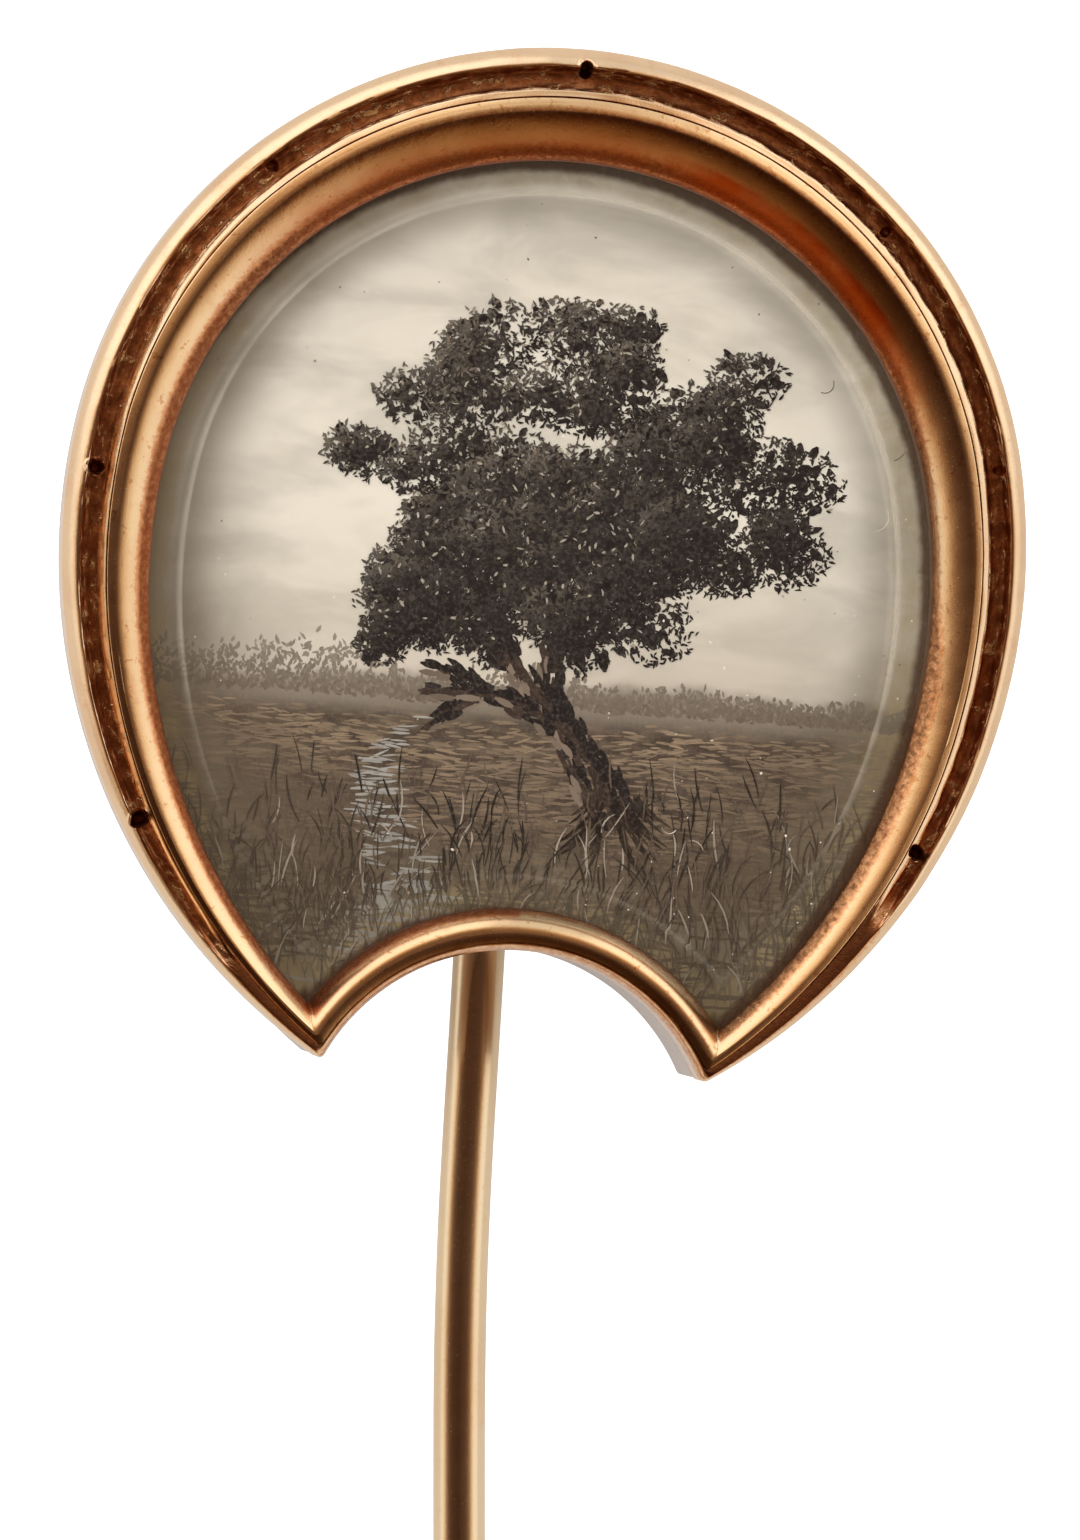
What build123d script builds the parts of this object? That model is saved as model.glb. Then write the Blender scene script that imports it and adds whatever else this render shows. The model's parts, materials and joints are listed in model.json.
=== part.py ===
from build123d import *
import os
from math import asin, atan2, cos, degrees, hypot, radians, sin
from typing import NamedTuple

# Horseshoe stick pin, in millimetres.
# The head is drawn flat: X across, Y towards the toe, Z from the back plate to the front.
# It is then tipped onto the stem and turned, as the pin lies by itself on a table.

# Head, from the back plate at Z = 0 to the crest of the rim
head_depth = 3.9
band_depth = 1.3
back_plate = 0.5
edge_round = 0.15
shoulder_round = 0.25
heel_tip_round = 0.12
seat_gap = 0.05

# Plan outlines: a round toe, two flatter branches and a concave heel
branch_turn = 80.0
branch_end_turn = 155.0
heel_centre = -11.67
rim_toe_radius = 9.16
rim_toe_top = 9.48
rim_branch_radius = 11.55
rim_heel_radius = 4.0

box_toe_radius = 8.46
box_toe_top = 8.78
box_branch_radius = 12.0

bezel_toe_radius = 8.25
bezel_toe_top = 8.49
bezel_branch_radius = 11.7
bezel_heel_radius = 4.2

sight_toe_radius = 7.42
sight_toe_top = 7.35
sight_branch_radius = 11.0
sight_heel_radius = 4.92

# Nailing groove of the horseshoe and its seven blind holes
groove_toe_radius = 8.67
groove_toe_top = 8.89
groove_branch_radius = 11.3
groove_end_turn = 134.0
groove_width = 0.44
groove_floor = 0.26
nail_turns = (0.0, 42.5, 81.5, 118.0)
nail_diameter = 0.36
nail_depth = 0.8

# Bezel: a rolled collar that leans over the crystal
roll_drop = 1.0
roll_turns = (0.0, 16.0, 32.0, 48.0, 64.0, 80.0)
crest_inset = 0.08
lip_thickness = 0.05
lip_cover = 0.3

# Crystal with a bevelled border, over the painted miniature
crystal_face_drop = 0.95
crystal_bevel_drop = 0.22
crystal_bevel_width = 0.65
crystal_depth = 1.4
miniature_depth = 0.95

# Stem: a plain round wire, straight behind the head, eased straight again below it, then pointed
stem_diameter = 1.0
stem_sink = 0.05
stem_side = 0.4
stem_lean = 3.4
stem_head_reach = 4.0
stem_bend_start = 11.5
stem_bend_length = 5.7
pin_reach = 65.5
point_taper = 8.0
point_radius = 0.08
point_round = 0.05
stem_end_round = 0.3
solder_width = 1.3
solder_depth = 0.35
solder_margin = 0.6
head_lean = 3.8


class Outline(NamedTuple):
    """Horseshoe plan outline, symmetric about the Y axis."""
    toe_radius: float
    toe_top: float
    branch_radius: float
    heel_radius: float

    def grown(self, by):
        """The parallel outline, moved outwards by a distance."""
        return Outline(self.toe_radius + by, self.toe_top + by,
                       self.branch_radius + by, self.heel_radius - by)

    def towards(self, other, share):
        """The outline that lies a share of the way to another one."""
        return Outline(*(a + (b - a) * share for a, b in zip(self, other)))

    def point(self, turn):
        """The point on the right half at an angle from the toe."""
        toe_centre = self.toe_top - self.toe_radius
        joint = radians(branch_turn)
        angle = radians(turn)
        if turn <= branch_turn:
            return Vector(self.toe_radius * sin(angle), toe_centre + self.toe_radius * cos(angle))
        setback = self.toe_radius - self.branch_radius
        return Vector(setback * sin(joint) + self.branch_radius * sin(angle),
                      toe_centre + setback * cos(joint) + self.branch_radius * cos(angle))

    def arms(self, end_turn):
        """The open line from the left branch round the toe to the right branch."""
        joint = self.point(branch_turn)
        middle = self.point((branch_turn + end_turn) / 2)
        end = self.point(end_turn)
        left = ThreePointArc(mirrored(end), mirrored(middle), mirrored(joint))
        toe = ThreePointArc(mirrored(joint), self.point(0), joint)
        right = ThreePointArc(joint, middle, end)
        return Wire([left, toe, right])

    def face(self, tip_round=0.0):
        """The closed outline, with the heel cut out of it."""
        end = self.point(branch_end_turn)
        whole = make_face([*self.arms(branch_end_turn).edges(), Line(end, mirrored(end))])
        plan = whole - Pos(0, heel_centre) * Circle(self.heel_radius)
        if tip_round:
            plan = fillet(plan.vertices().sort_by(Axis.Y)[:2], tip_round)
        return plan


def mirrored(point):
    """The same point on the other side of the head."""
    return Vector(-point.X, point.Y, point.Z)


def slab(outline, bottom, top, tip_round=0.0):
    """A straight-walled block of an outline between two heights."""
    return Pos(0, 0, bottom) * extrude(outline.face(tip_round), top - bottom)


rim = Outline(rim_toe_radius, rim_toe_top, rim_branch_radius, rim_heel_radius)
box = Outline(box_toe_radius, box_toe_top, box_branch_radius, rim_heel_radius)
collar = Outline(bezel_toe_radius, bezel_toe_top, bezel_branch_radius, bezel_heel_radius)
sight = Outline(sight_toe_radius, sight_toe_top, sight_branch_radius, sight_heel_radius)
groove = Outline(groove_toe_radius, groove_toe_top, groove_branch_radius, rim_heel_radius)
girdle = sight.grown(lip_cover)
pocket = girdle.grown(seat_gap)

band_bottom = head_depth - band_depth
collar_seat = band_bottom
collar_bottom = collar_seat + seat_gap
sight_height = head_depth - roll_drop
lip_bottom = sight_height - lip_thickness
crystal_top = head_depth - crystal_face_drop
crystal_bottom = crystal_top - crystal_depth
miniature_top = crystal_bottom - seat_gap
miniature_bottom = miniature_top - miniature_depth
stem_radius = stem_diameter / 2


def make_groove():
    """The round-bottomed channel and the nail holes, as one cutting body."""
    path = groove.arms(groove_end_turn)
    ball_radius = ((groove_width / 2) ** 2 + groove_floor ** 2) / (2 * groove_floor)
    ball_height = head_depth - groove_floor + ball_radius
    path = Pos(0, 0, ball_height) * path
    cutter = sweep(Plane(path @ 0, z_dir=path % 0) * Circle(ball_radius), path)
    hole = Cylinder(nail_diameter / 2, nail_depth, align=(Align.CENTER, Align.CENTER, Align.MAX))
    for turn in nail_turns:
        centre = groove.point(turn)
        for place in {centre.X, -centre.X}:
            cutter += Pos(place, centre.Y, head_depth) * hole
    return cutter


def make_case():
    """Horseshoe band, box wall and back plate, without the stem."""
    wall = slab(box, 0, head_depth - shoulder_round)
    wall = fillet(wall.edges().group_by(Axis.Z)[0], edge_round)
    band = slab(rim, band_bottom, head_depth, heel_tip_round)
    crest = band.edges().group_by(Axis.Z)[-1]
    heel = crest.sort_by(Axis.Y)[0:3]
    band = fillet([edge for edge in crest if edge not in heel], shoulder_round)
    case = wall + band
    case -= slab(collar.grown(seat_gap), collar_seat, head_depth)
    case -= slab(pocket, back_plate, head_depth)
    return case - make_groove()


def make_bezel():
    """Rolled collar: straight outside, a quarter round down to the sight edge, and a lip."""
    bezel = slab(collar, collar_bottom, head_depth)
    crest = collar.grown(-crest_inset)
    levels = []
    for turn in reversed(roll_turns):
        share = sin(radians(turn)) / sin(radians(roll_turns[-1]))
        drop = roll_drop * (1 - cos(radians(turn))) / (1 - cos(radians(roll_turns[-1])))
        levels.append(Pos(0, 0, head_depth - drop) * crest.towards(sight, share).face())
    bezel -= loft(levels, ruled=True)
    bezel -= slab(sight, lip_bottom - seat_gap, sight_height)
    return bezel - slab(pocket, collar_bottom - seat_gap, lip_bottom)


def make_crystal():
    """Flat crystal whose border is bevelled down to the girdle under the lip."""
    girdle_top = crystal_top - crystal_bevel_drop
    table = sight.grown(-crystal_bevel_width)
    body = slab(girdle, crystal_bottom, girdle_top)
    levels = [Pos(0, 0, girdle_top) * girdle.face(), Pos(0, 0, crystal_top) * table.face()]
    return body + loft(levels, ruled=True)


def make_stem():
    """Wire stem along its resting line, from its rounded head end to the point."""
    lean = radians(stem_lean)
    up = Vector(sin(lean), cos(lean))
    start = up * stem_head_reach
    bend_start = up * -stem_bend_start
    bend = JernArc(bend_start, -up, stem_bend_length / lean, stem_lean)
    taper_start = Vector((bend @ 1).X, point_taper - pin_reach)
    path = Wire([Line(start, bend_start), bend, Line(bend @ 1, taper_start)])
    wire = sweep(Plane(path @ 0, z_dir=path % 0) * Circle(stem_radius), path)
    wire = fillet(wire.edges().sort_by(Axis.Y)[-1], stem_end_round)
    point = Cone(stem_radius, point_radius, point_taper, align=(Align.CENTER, Align.CENTER, Align.MIN))
    point = fillet(point.edges().sort_by(Axis.Z)[-1], point_round)
    return wire + Pos(taper_start) * Rot(90, 0, 0) * point


def tip_angle():
    """Angle at which the back's right edge touches the table beside the stem, in radians."""
    stand_off = stem_radius - stem_sink
    reach = box.point(90).X - edge_round + stem_side
    rise = stand_off + edge_round
    return atan2(rise, reach) + asin((stem_radius - edge_round) / hypot(reach, rise))


# The resting pose: the head lies on the stem, a little right of it, and leans down to its right edge
head_pose = Pos(0, 0, stem_radius) * Rot(0, 0, -head_lean) * Rot(0, degrees(tip_angle()), 0)
head_pose = head_pose * Pos(stem_side, 0, stem_radius - stem_sink)


def make_solder():
    """Flat bed of solder between the back plate and the stem, in the head's own frame."""
    heel_edge = heel_centre + rim_heel_radius
    length = stem_head_reach - heel_edge - solder_margin
    bed = Box(solder_width, length, solder_depth, align=(Align.CENTER, Align.MAX, Align.MAX))
    bed = fillet(bed.edges().filter_by(Axis.Z), solder_width / 3)
    return Pos(-stem_side, stem_head_reach, 0) * bed


def make_pin():
    """The gold work soldered into one piece: case, solder bed and stem, in the resting pose."""
    head = make_case() + make_solder()
    return head_pose * head + Pos(0, 0, stem_radius) * make_stem()


pieces = {
    "case_and_stem": make_pin(),
    "bezel": head_pose * make_bezel(),
    "crystal": head_pose * make_crystal(),
    "miniature": head_pose * slab(girdle, miniature_bottom, miniature_top),
}

# The origin goes to the middle of the whole pin's plan box, on the table
extent = Compound(list(pieces.values())).bounding_box()
to_origin = Pos(-extent.center().X, -extent.center().Y, -extent.min.Z)

os.makedirs("parts", exist_ok=True)
for name, piece in pieces.items():
    export_step(to_origin * piece, f"parts/{name}.step")
print("tip angle", round(degrees(tip_angle()), 2), "size", extent.size, "stem at head", to_origin.position)
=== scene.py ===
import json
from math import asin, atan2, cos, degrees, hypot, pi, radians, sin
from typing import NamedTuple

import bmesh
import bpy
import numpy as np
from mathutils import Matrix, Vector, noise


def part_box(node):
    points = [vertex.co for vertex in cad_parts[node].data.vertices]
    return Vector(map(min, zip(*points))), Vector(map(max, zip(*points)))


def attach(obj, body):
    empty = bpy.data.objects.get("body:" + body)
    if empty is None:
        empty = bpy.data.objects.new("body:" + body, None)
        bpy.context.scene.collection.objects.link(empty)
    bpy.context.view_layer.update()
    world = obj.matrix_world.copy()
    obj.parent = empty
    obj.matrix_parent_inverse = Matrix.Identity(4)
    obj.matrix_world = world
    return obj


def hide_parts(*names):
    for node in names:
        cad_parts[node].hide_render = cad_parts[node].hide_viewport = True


bl_info = {
    "name": "Horseshoe stick pin",
    "version": (1, 0, 0),
    "blender": (4, 5, 0),
    "location": "View3D > Sidebar > Stick Pin",
    "description": "Models the pieces of a horseshoe stick pin around its packed frame",
    "category": "Object",
}

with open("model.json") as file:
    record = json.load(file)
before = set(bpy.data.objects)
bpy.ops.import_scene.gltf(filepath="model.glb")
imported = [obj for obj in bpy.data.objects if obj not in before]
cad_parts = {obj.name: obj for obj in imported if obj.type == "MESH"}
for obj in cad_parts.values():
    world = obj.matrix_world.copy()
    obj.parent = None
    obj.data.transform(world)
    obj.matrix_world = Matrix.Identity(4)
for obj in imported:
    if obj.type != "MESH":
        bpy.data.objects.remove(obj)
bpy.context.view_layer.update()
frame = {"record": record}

MM = 0.001
BODY = "root"
START_SIZE = 0.0001
WELD = 1e-7
SEAM_WELD = 1e-6


# Sizes and colours

def length(name, description, millimetres):
    """A length property whose default is given in millimetres."""
    return bpy.props.FloatProperty(
        name=name, description=description, default=millimetres * MM, unit="LENGTH", precision=6)


def colour(name, description, default):
    """A colour property, in linear light."""
    return bpy.props.FloatVectorProperty(
        name=name, description=description, default=default, size=3, min=0.0, max=1.0,
        subtype="COLOR")


def angle(name, description, degrees_):
    """An angle property whose default is given in degrees."""
    return bpy.props.FloatProperty(name=name, description=description, default=radians(degrees_),
                                   subtype="ANGLE", unit="ROTATION")


class PinHeadSizes(bpy.types.PropertyGroup):
    """Depths of the horseshoe head, from its back plate to the crest of the rim."""
    head_depth: length("Head depth", "Back plate to the crest of the rim", 3.9)
    band_depth: length("Band depth", "Depth of the wider horseshoe band", 1.3)
    back_plate: length("Back plate", "Thickness of the back plate", 0.5)
    edge_round: length("Back edge", "Rounding of the back edge", 0.15)
    seat_gap: length("Seat gap", "Gap between pieces that meet", 0.05)
    lip_cover: length("Lip cover", "How far the bezel covers the crystal", 0.3)
    roll_drop: length("Roll drop", "Height from the bezel's crest down to its lip", 1.0)
    lip_thickness: length("Lip", "Thickness of the bezel's lip", 0.05)
    crystal_drop: length("Crystal drop", "Crest of the rim to the crystal's face", 0.95)
    bevel_drop: length("Bevel drop", "Height of the crystal's bevel", 0.22)
    bevel_width: length("Bevel width", "Width of the crystal's bevel inside the lip", 0.65)
    crystal_depth: length("Crystal depth", "Thickness of the crystal", 1.4)
    miniature_depth: length("Plaque depth", "Thickness of the painted plaque", 0.95)
    hand_wobble: length("Hand work", "How far hand work moves the metal's surface", 0.007)


class PinStemSizes(bpy.types.PropertyGroup):
    """The wire stem and the way the head lies on it."""
    radius: length("Wire radius", "Half of the wire's diameter", 0.5)
    side: length("Side step", "Stem's middle to the head's middle", 0.4)
    sink: length("Sink", "How far the wire sinks into the solder", 0.05)
    lean: angle("Stem lean", "Lean of the stem behind the head", 3.4)
    head_lean: angle("Head lean", "Turn of the head in plan", 3.8)
    head_reach: length("Head reach", "Length of wire above the head's middle", 4.0)
    bend_start: length("Bend start", "Head's middle to the start of the bend", 11.5)
    bend_length: length("Bend length", "Length of the gentle bend", 5.7)
    reach: length("Reach", "Head's middle to the point", 65.5)
    taper: length("Taper", "Length of the point", 8.0)
    point_radius: length("Point", "Radius just above the point", 0.08)
    back_edge_reach: length("Back edge reach", "Stem's line to the back's right edge", 8.7638)


class PinFinishes(bpy.types.PropertyGroup):
    """Metal and paint colours."""
    rose_gold: colour("Rose gold", "Polished rose gold", (0.95, 0.685, 0.435))
    bezel_gold: colour("Bezel gold", "Polished gold of the bezel", (0.93, 0.655, 0.375))
    yellow_gold: colour("Yellow gold", "Polished yellow gold of the stem", (0.92, 0.71, 0.46))
    # Dark brown of the patina in recesses, also used for the painted shade on the bezel's slope by
    # the crystal.
    patina_and_shade_brown: colour("Old brown", "Dark patina in recesses", (0.21, 0.080, 0.032))
    copper_red: colour("Copper red", "Warm oxide near recesses", (0.68, 0.27, 0.10))
    # The box wall's pale colour is a painted reflection of the bright floor.
    pale_wall_reflection: colour("Pale wall", "Whitish painted_reflection of the box wall", (0.78, 0.72, 0.68))
    sky_cream: colour("Sky", "Light of the painted sky", (0.86, 0.82, 0.745))
    olive_brown: colour("Olive brown", "Border of the painting", (0.125, 0.092, 0.062))
    ground_brown: colour("Ground", "Painted ground", (0.055, 0.039, 0.030))


class PinStudio(bpy.types.PropertyGroup):
    """Camera and light."""
    view_centre: bpy.props.FloatVectorProperty(
        name="View centre", description="Middle of the picture, on the level of the rim",
        default=(-0.065 * MM, 23.752 * MM, 3.5 * MM), size=3, subtype="TRANSLATION", unit="LENGTH")
    view_height: length("View height", "Height of the picture at the rim", 29.333)
    distance: length("Distance", "Camera above the rim", 235.0)
    ring_light: bpy.props.FloatProperty(
        name="Ring light", description="Brightness of the low ring of light", default=1.0)
    zenith_colour: colour("Zenith", "Warm dark straight above, where the lens is",
                          (0.062, 0.032, 0.022))


# Plan outlines

BRANCH_TURN = radians(80)
HEEL_CENTRE = -11.67 * MM
ARC_STEPS = (128, 132, 12, 46)
TIP_STATION = ARC_STEPS[0] + ARC_STEPS[1]
HEEL_STATION = TIP_STATION + ARC_STEPS[2]
BRANCH_SWEEP = 72.0


class Outline(NamedTuple):
    """Horseshoe plan outline: a round toe, flatter branches, small tips and a concave heel."""
    toe_radius: float
    toe_top: float
    branch_radius: float
    heel_radius: float
    tip_radius: float

    def grown(self, by):
        """The parallel outline, moved outwards by a distance."""
        return Outline(self.toe_radius + by, self.toe_top + by, self.branch_radius + by,
                       self.heel_radius - by, self.tip_radius)

    def towards(self, other, part):
        """The outline that lies a share of the way to another one."""
        return Outline(*(a + (b - a) * part for a, b in zip(self, other)))

    def arcs(self):
        """Centre and turn of each arc, from the toe to the heel's middle; clockwise is positive."""
        toe_centre = Vector((0, self.toe_top - self.toe_radius))
        setback = self.toe_radius - self.branch_radius
        branch_centre = toe_centre + setback * Vector((sin(BRANCH_TURN), cos(BRANCH_TURN)))
        heel = Vector((0, HEEL_CENTRE))
        inner = self.branch_radius - self.tip_radius
        outer = self.heel_radius + self.tip_radius
        across = heel - branch_centre
        along = (across.length_squared + inner ** 2 - outer ** 2) / (2 * across.length)
        aside = (inner ** 2 - along ** 2) ** 0.5
        direction = across.normalized()
        tip = branch_centre + direction * along + Vector((-direction.y, direction.x)) * aside
        leave = atan2(tip.x - branch_centre.x, tip.y - branch_centre.y)
        meet = atan2(heel.x - tip.x, heel.y - tip.y)
        away = atan2(tip.x - heel.x, tip.y - heel.y)
        return ((toe_centre, BRANCH_TURN), (branch_centre, leave - BRANCH_TURN),
                (tip, (meet - leave) % (2 * pi)), (heel, -away))


RIM = Outline(9.16 * MM, 9.48 * MM, 11.55 * MM, 4.0 * MM, 0.12 * MM)
BOX = Outline(8.46 * MM, 8.78 * MM, 12.0 * MM, 4.0 * MM, 0.12 * MM)
COLLAR = Outline(8.25 * MM, 8.49 * MM, 11.7 * MM, 4.2 * MM, 0.10 * MM)
SIGHT = Outline(7.42 * MM, 7.35 * MM, 11.25 * MM, 4.78 * MM, 0.05 * MM)
(SIGHT_TOE, _), (SIGHT_BRANCH, _) = SIGHT.arcs()[:2]


def smooth(low, high, value):
    """Smooth step from 0 at low to 1 at high."""
    part = min(max((value - low) / (high - low), 0.0), 1.0)
    return part * part * (3 - 2 * part)


# Modelling by hand

def draw_half(outline, height, ring):
    """Spins one vertex round the arcs of an outline and numbers the line's vertices."""
    bpy.ops.object.select_all(action="DESELECT")
    bpy.ops.mesh.primitive_plane_add(size=START_SIZE, location=(0, 0, 0))
    line = bpy.context.object
    bpy.ops.object.mode_set(mode="EDIT")
    bpy.ops.mesh.merge(type="CENTER")
    bpy.ops.transform.translate(value=(0, outline.toe_top, height))
    for (centre, turn), steps in zip(outline.arcs(), ARC_STEPS):
        bpy.ops.mesh.spin(steps=steps, angle=turn, center=(centre.x, centre.y, height),
                          axis=(0, 0, 1))
    mesh = bmesh.from_edit_mesh(line.data)
    rings = mesh.verts.layers.int.new("ring")
    stations = mesh.verts.layers.int.new("station")
    vert = max((v for v in mesh.verts if len(v.link_edges) == 1), key=lambda v: v.co.y)
    edge = None
    for station in range(len(mesh.verts)):
        vert[rings] = ring + 1
        vert[stations] = station
        following = [e for e in vert.link_edges if e is not edge]
        if not following:
            vert.co.x = 0.0
            break
        edge = following[0]
        vert = edge.other_vert(vert)
    bmesh.update_edit_mesh(line.data)
    bpy.ops.mesh.select_all(action="SELECT")
    bpy.ops.object.vertex_group_assign_new()
    bpy.ops.object.mode_set(mode="OBJECT")
    line.vertex_groups[0].name = ring_name(ring)
    return line


def ring_name(ring):
    """Name of the vertex group of a numbered line."""
    return f"ring_{ring:02d}"


def draw_rings(name, rings):
    """Draws every outline of a profile at its height and joins them into one open piece."""
    lines = [draw_half(outline, height, number)
             for number, (outline, height) in enumerate(rings)]
    bpy.ops.object.select_all(action="DESELECT")
    for line in lines:
        line.select_set(True)
    bpy.context.view_layer.objects.active = lines[0]
    bpy.ops.object.join()
    piece = bpy.context.object
    piece.name = name
    piece.data.name = name
    bpy.ops.object.mode_set(mode="EDIT")
    return piece


def select_where(test):
    """Selects the vertices that pass a test, and the edges between them."""
    bpy.ops.mesh.select_all(action="DESELECT")
    mesh = bmesh.from_edit_mesh(bpy.context.object.data)
    for vert in mesh.verts:
        if test(vert):
            vert.select = True
    for edge in mesh.edges:
        if edge.verts[0].select and edge.verts[1].select:
            edge.select = True
    bmesh.update_edit_mesh(bpy.context.object.data)


def select_rings(*numbers):
    """Selects numbered lines."""
    bpy.ops.mesh.select_all(action="DESELECT")
    groups = bpy.context.object.vertex_groups
    for number in numbers:
        groups.active_index = groups[ring_name(number)].index
        bpy.ops.object.vertex_group_select()


def bridge_rings(pairs):
    """Bridges numbered lines two at a time."""
    for first, second in pairs:
        select_rings(first, second)
        bpy.ops.mesh.bridge_edge_loops()


def cap_ring(ring):
    """Fills the flat area inside a numbered line."""
    select_rings(ring)
    bpy.ops.mesh.edge_face_add()


def move_vertices(shape):
    """Sets the height of numbered vertices by ring and station."""
    mesh = bmesh.from_edit_mesh(bpy.context.object.data)
    rings = mesh.verts.layers.int["ring"]
    stations = mesh.verts.layers.int["station"]
    for vert in mesh.verts:
        vert.co.z = shape(vert[rings] - 1, vert[stations], vert.co)
    bmesh.update_edit_mesh(bpy.context.object.data)


def mirror_half(piece):
    """Closes the half drawing to a whole one over the middle plane."""
    bpy.ops.object.mode_set(mode="OBJECT")
    modifier = piece.modifiers.new("mirror", "MIRROR")
    modifier.use_axis = (True, False, False)
    modifier.use_mirror_merge = True
    modifier.merge_threshold = SEAM_WELD
    bpy.ops.object.modifier_apply(modifier=modifier.name)


def turn_faces_out():
    """Merges doubles and points every face outwards."""
    bpy.ops.object.mode_set(mode="EDIT")
    bpy.ops.mesh.select_all(action="SELECT")
    bpy.ops.mesh.remove_doubles(threshold=WELD)
    bpy.ops.mesh.normals_make_consistent(inside=False)
    bpy.ops.object.mode_set(mode="OBJECT")


def head_matrix():
    """The head's place and tilt in the pin's frame."""
    stem = bpy.context.scene.pin_stem
    rise = stem.radius - stem.sink + bpy.context.scene.pin_head.edge_round
    reach = stem.back_edge_reach
    tip = atan2(rise, reach) + asin((stem.radius - bpy.context.scene.pin_head.edge_round)
                                    / hypot(reach, rise))
    return (Matrix.Translation(stem_root()) @ Matrix.Rotation(-stem.head_lean, 4, "Z")
            @ Matrix.Rotation(tip, 4, "Y")
            @ Matrix.Translation((stem.side, 0, stem.radius - stem.sink)))


def stem_root():
    """The stem's middle line beside the head's middle."""
    stem = bpy.context.scene.pin_stem
    low, _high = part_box("case_and_stem")
    bend_radius = stem.bend_length / stem.lean
    aside = stem.bend_start * sin(stem.lean) + bend_radius * (1 - cos(stem.lean))
    mount = frame["record"]["mounts"][0]["pos_m"]
    return Vector((mount[0] + aside, low.y + stem.reach, stem.radius))


def place_on_head(piece):
    """Moves a piece that was modelled flat onto the tipped head and applies its place."""
    bpy.ops.object.select_all(action="DESELECT")
    piece.select_set(True)
    bpy.context.view_layer.objects.active = piece
    piece.matrix_world = head_matrix()
    bpy.ops.object.transform_apply(location=True, rotation=True, scale=True)


def finish_piece(piece, material, nodes, crease=radians(40)):
    """Smooths a finished piece, gives it its finish and ties it to the frame."""
    bpy.ops.object.select_all(action="DESELECT")
    piece.select_set(True)
    bpy.context.view_layer.objects.active = piece
    piece.vertex_groups.clear()
    for name in ("ring", "station"):
        layer = piece.data.attributes.get(name)
        if layer:
            piece.data.attributes.remove(layer)
    bpy.ops.object.shade_smooth_by_angle(angle=crease)
    piece.data.materials.clear()
    piece.data.materials.append(material)
    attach(piece, BODY)
    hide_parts(*nodes)


def float_layer(piece, name, values):
    """Writes one number per vertex, for the finishes to read."""
    layer = piece.data.attributes.get(name) or piece.data.attributes.new(name, "FLOAT", "POINT")
    layer.data.foreach_set("value", np.asarray(values, dtype=np.float32))


def read_vertices(piece):
    """Vertex places as an array of rows."""
    places = np.empty(len(piece.data.vertices) * 3, dtype=np.float32)
    piece.data.vertices.foreach_get("co", places)
    return places.reshape(-1, 3).astype(float)


def write_vertices(piece, places):
    """Writes vertex places back."""
    piece.data.vertices.foreach_set("co", np.asarray(places, dtype=np.float32).ravel())
    piece.data.update()


def read_layer(piece, name, kind=np.int32):
    """A number per vertex that was stored while drawing."""
    values = np.empty(len(piece.data.vertices), dtype=kind)
    piece.data.attributes[name].data.foreach_get("value", values)
    return values


# The horseshoe case

# Share of the way from the collar's seam out to the rim's edge, and height below the crest in mm
CASE_PROFILE = (
    (1.00, 0.085), (0.988, 0.068), (0.963, 0.078), (0.936, 0.095), (0.905, 0.114),
    (0.875, 0.134), (0.850, 0.153), (0.828, 0.184), (0.803, 0.214), (0.775, 0.236),
    (0.735, 0.258), (0.67, 0.286), (0.59, 0.308), (0.525, 0.314), (0.475, 0.286),
    (0.442, 0.226), (0.420, 0.156), (0.404, 0.090), (0.390, 0.040), (0.374, 0.014),
    (0.352, 0.009), (0.318, 0.022), (0.272, 0.049), (0.215, 0.093), (0.158, 0.146),
    (0.108, 0.199), (0.066, 0.250), (0.03, 0.304), (0.01, 0.345), (0.0, 0.41),
)
GROOVE_RINGS = range(7, 18)
PROFILE_SHARES, PROFILE_DROPS = (list(column) for column in zip(*reversed(CASE_PROFILE)))
# Branch angles, in degrees, between which the groove runs out on the left and on the right
GROOVE_ENDS = {-1: (133.0, 141.0), 1: (124.0, 130.0)}


def ridge_lean(place):
    """How much steeper the ridge beside the seam is than at the toe: more on the left side."""
    return 1 - 0.28 * place[0] / hypot(place[0], place[1])


def toe_lift(place):
    """How much lower, in mm, the seam lies at the toe, where the bezel's crest stands further in."""
    return 0.044 * max(0.0, place[1] / hypot(place[0], place[1])) ** 2


def heel_drop(part):
    """Height below the crest, in mm, of the plain rounded flank on the heel arc."""
    return 0.030 + 0.33 * (1 - part) ** 2.2


def end_drop(part):
    """Height below the crest, in mm, where the groove has run out beside a tip."""
    return 0.045 + 0.34 * max(0.0, 1 - part / 0.45) ** 1.7 - 0.02 * sin(pi * part)


def branch_turn(station):
    """Angle from the toe, in degrees, of a numbered station on the branches."""
    if station <= ARC_STEPS[0]:
        return degrees(BRANCH_TURN) * station / ARC_STEPS[0]
    return degrees(BRANCH_TURN) + BRANCH_SWEEP * (station - ARC_STEPS[0]) / ARC_STEPS[1]


def groove_left(station, across):
    """Share of the groove that is left at a station, on the side where the place lies."""
    start, end = GROOVE_ENDS[1 if across > 0 else -1]
    return 1 - smooth(start, end, branch_turn(station))


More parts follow.
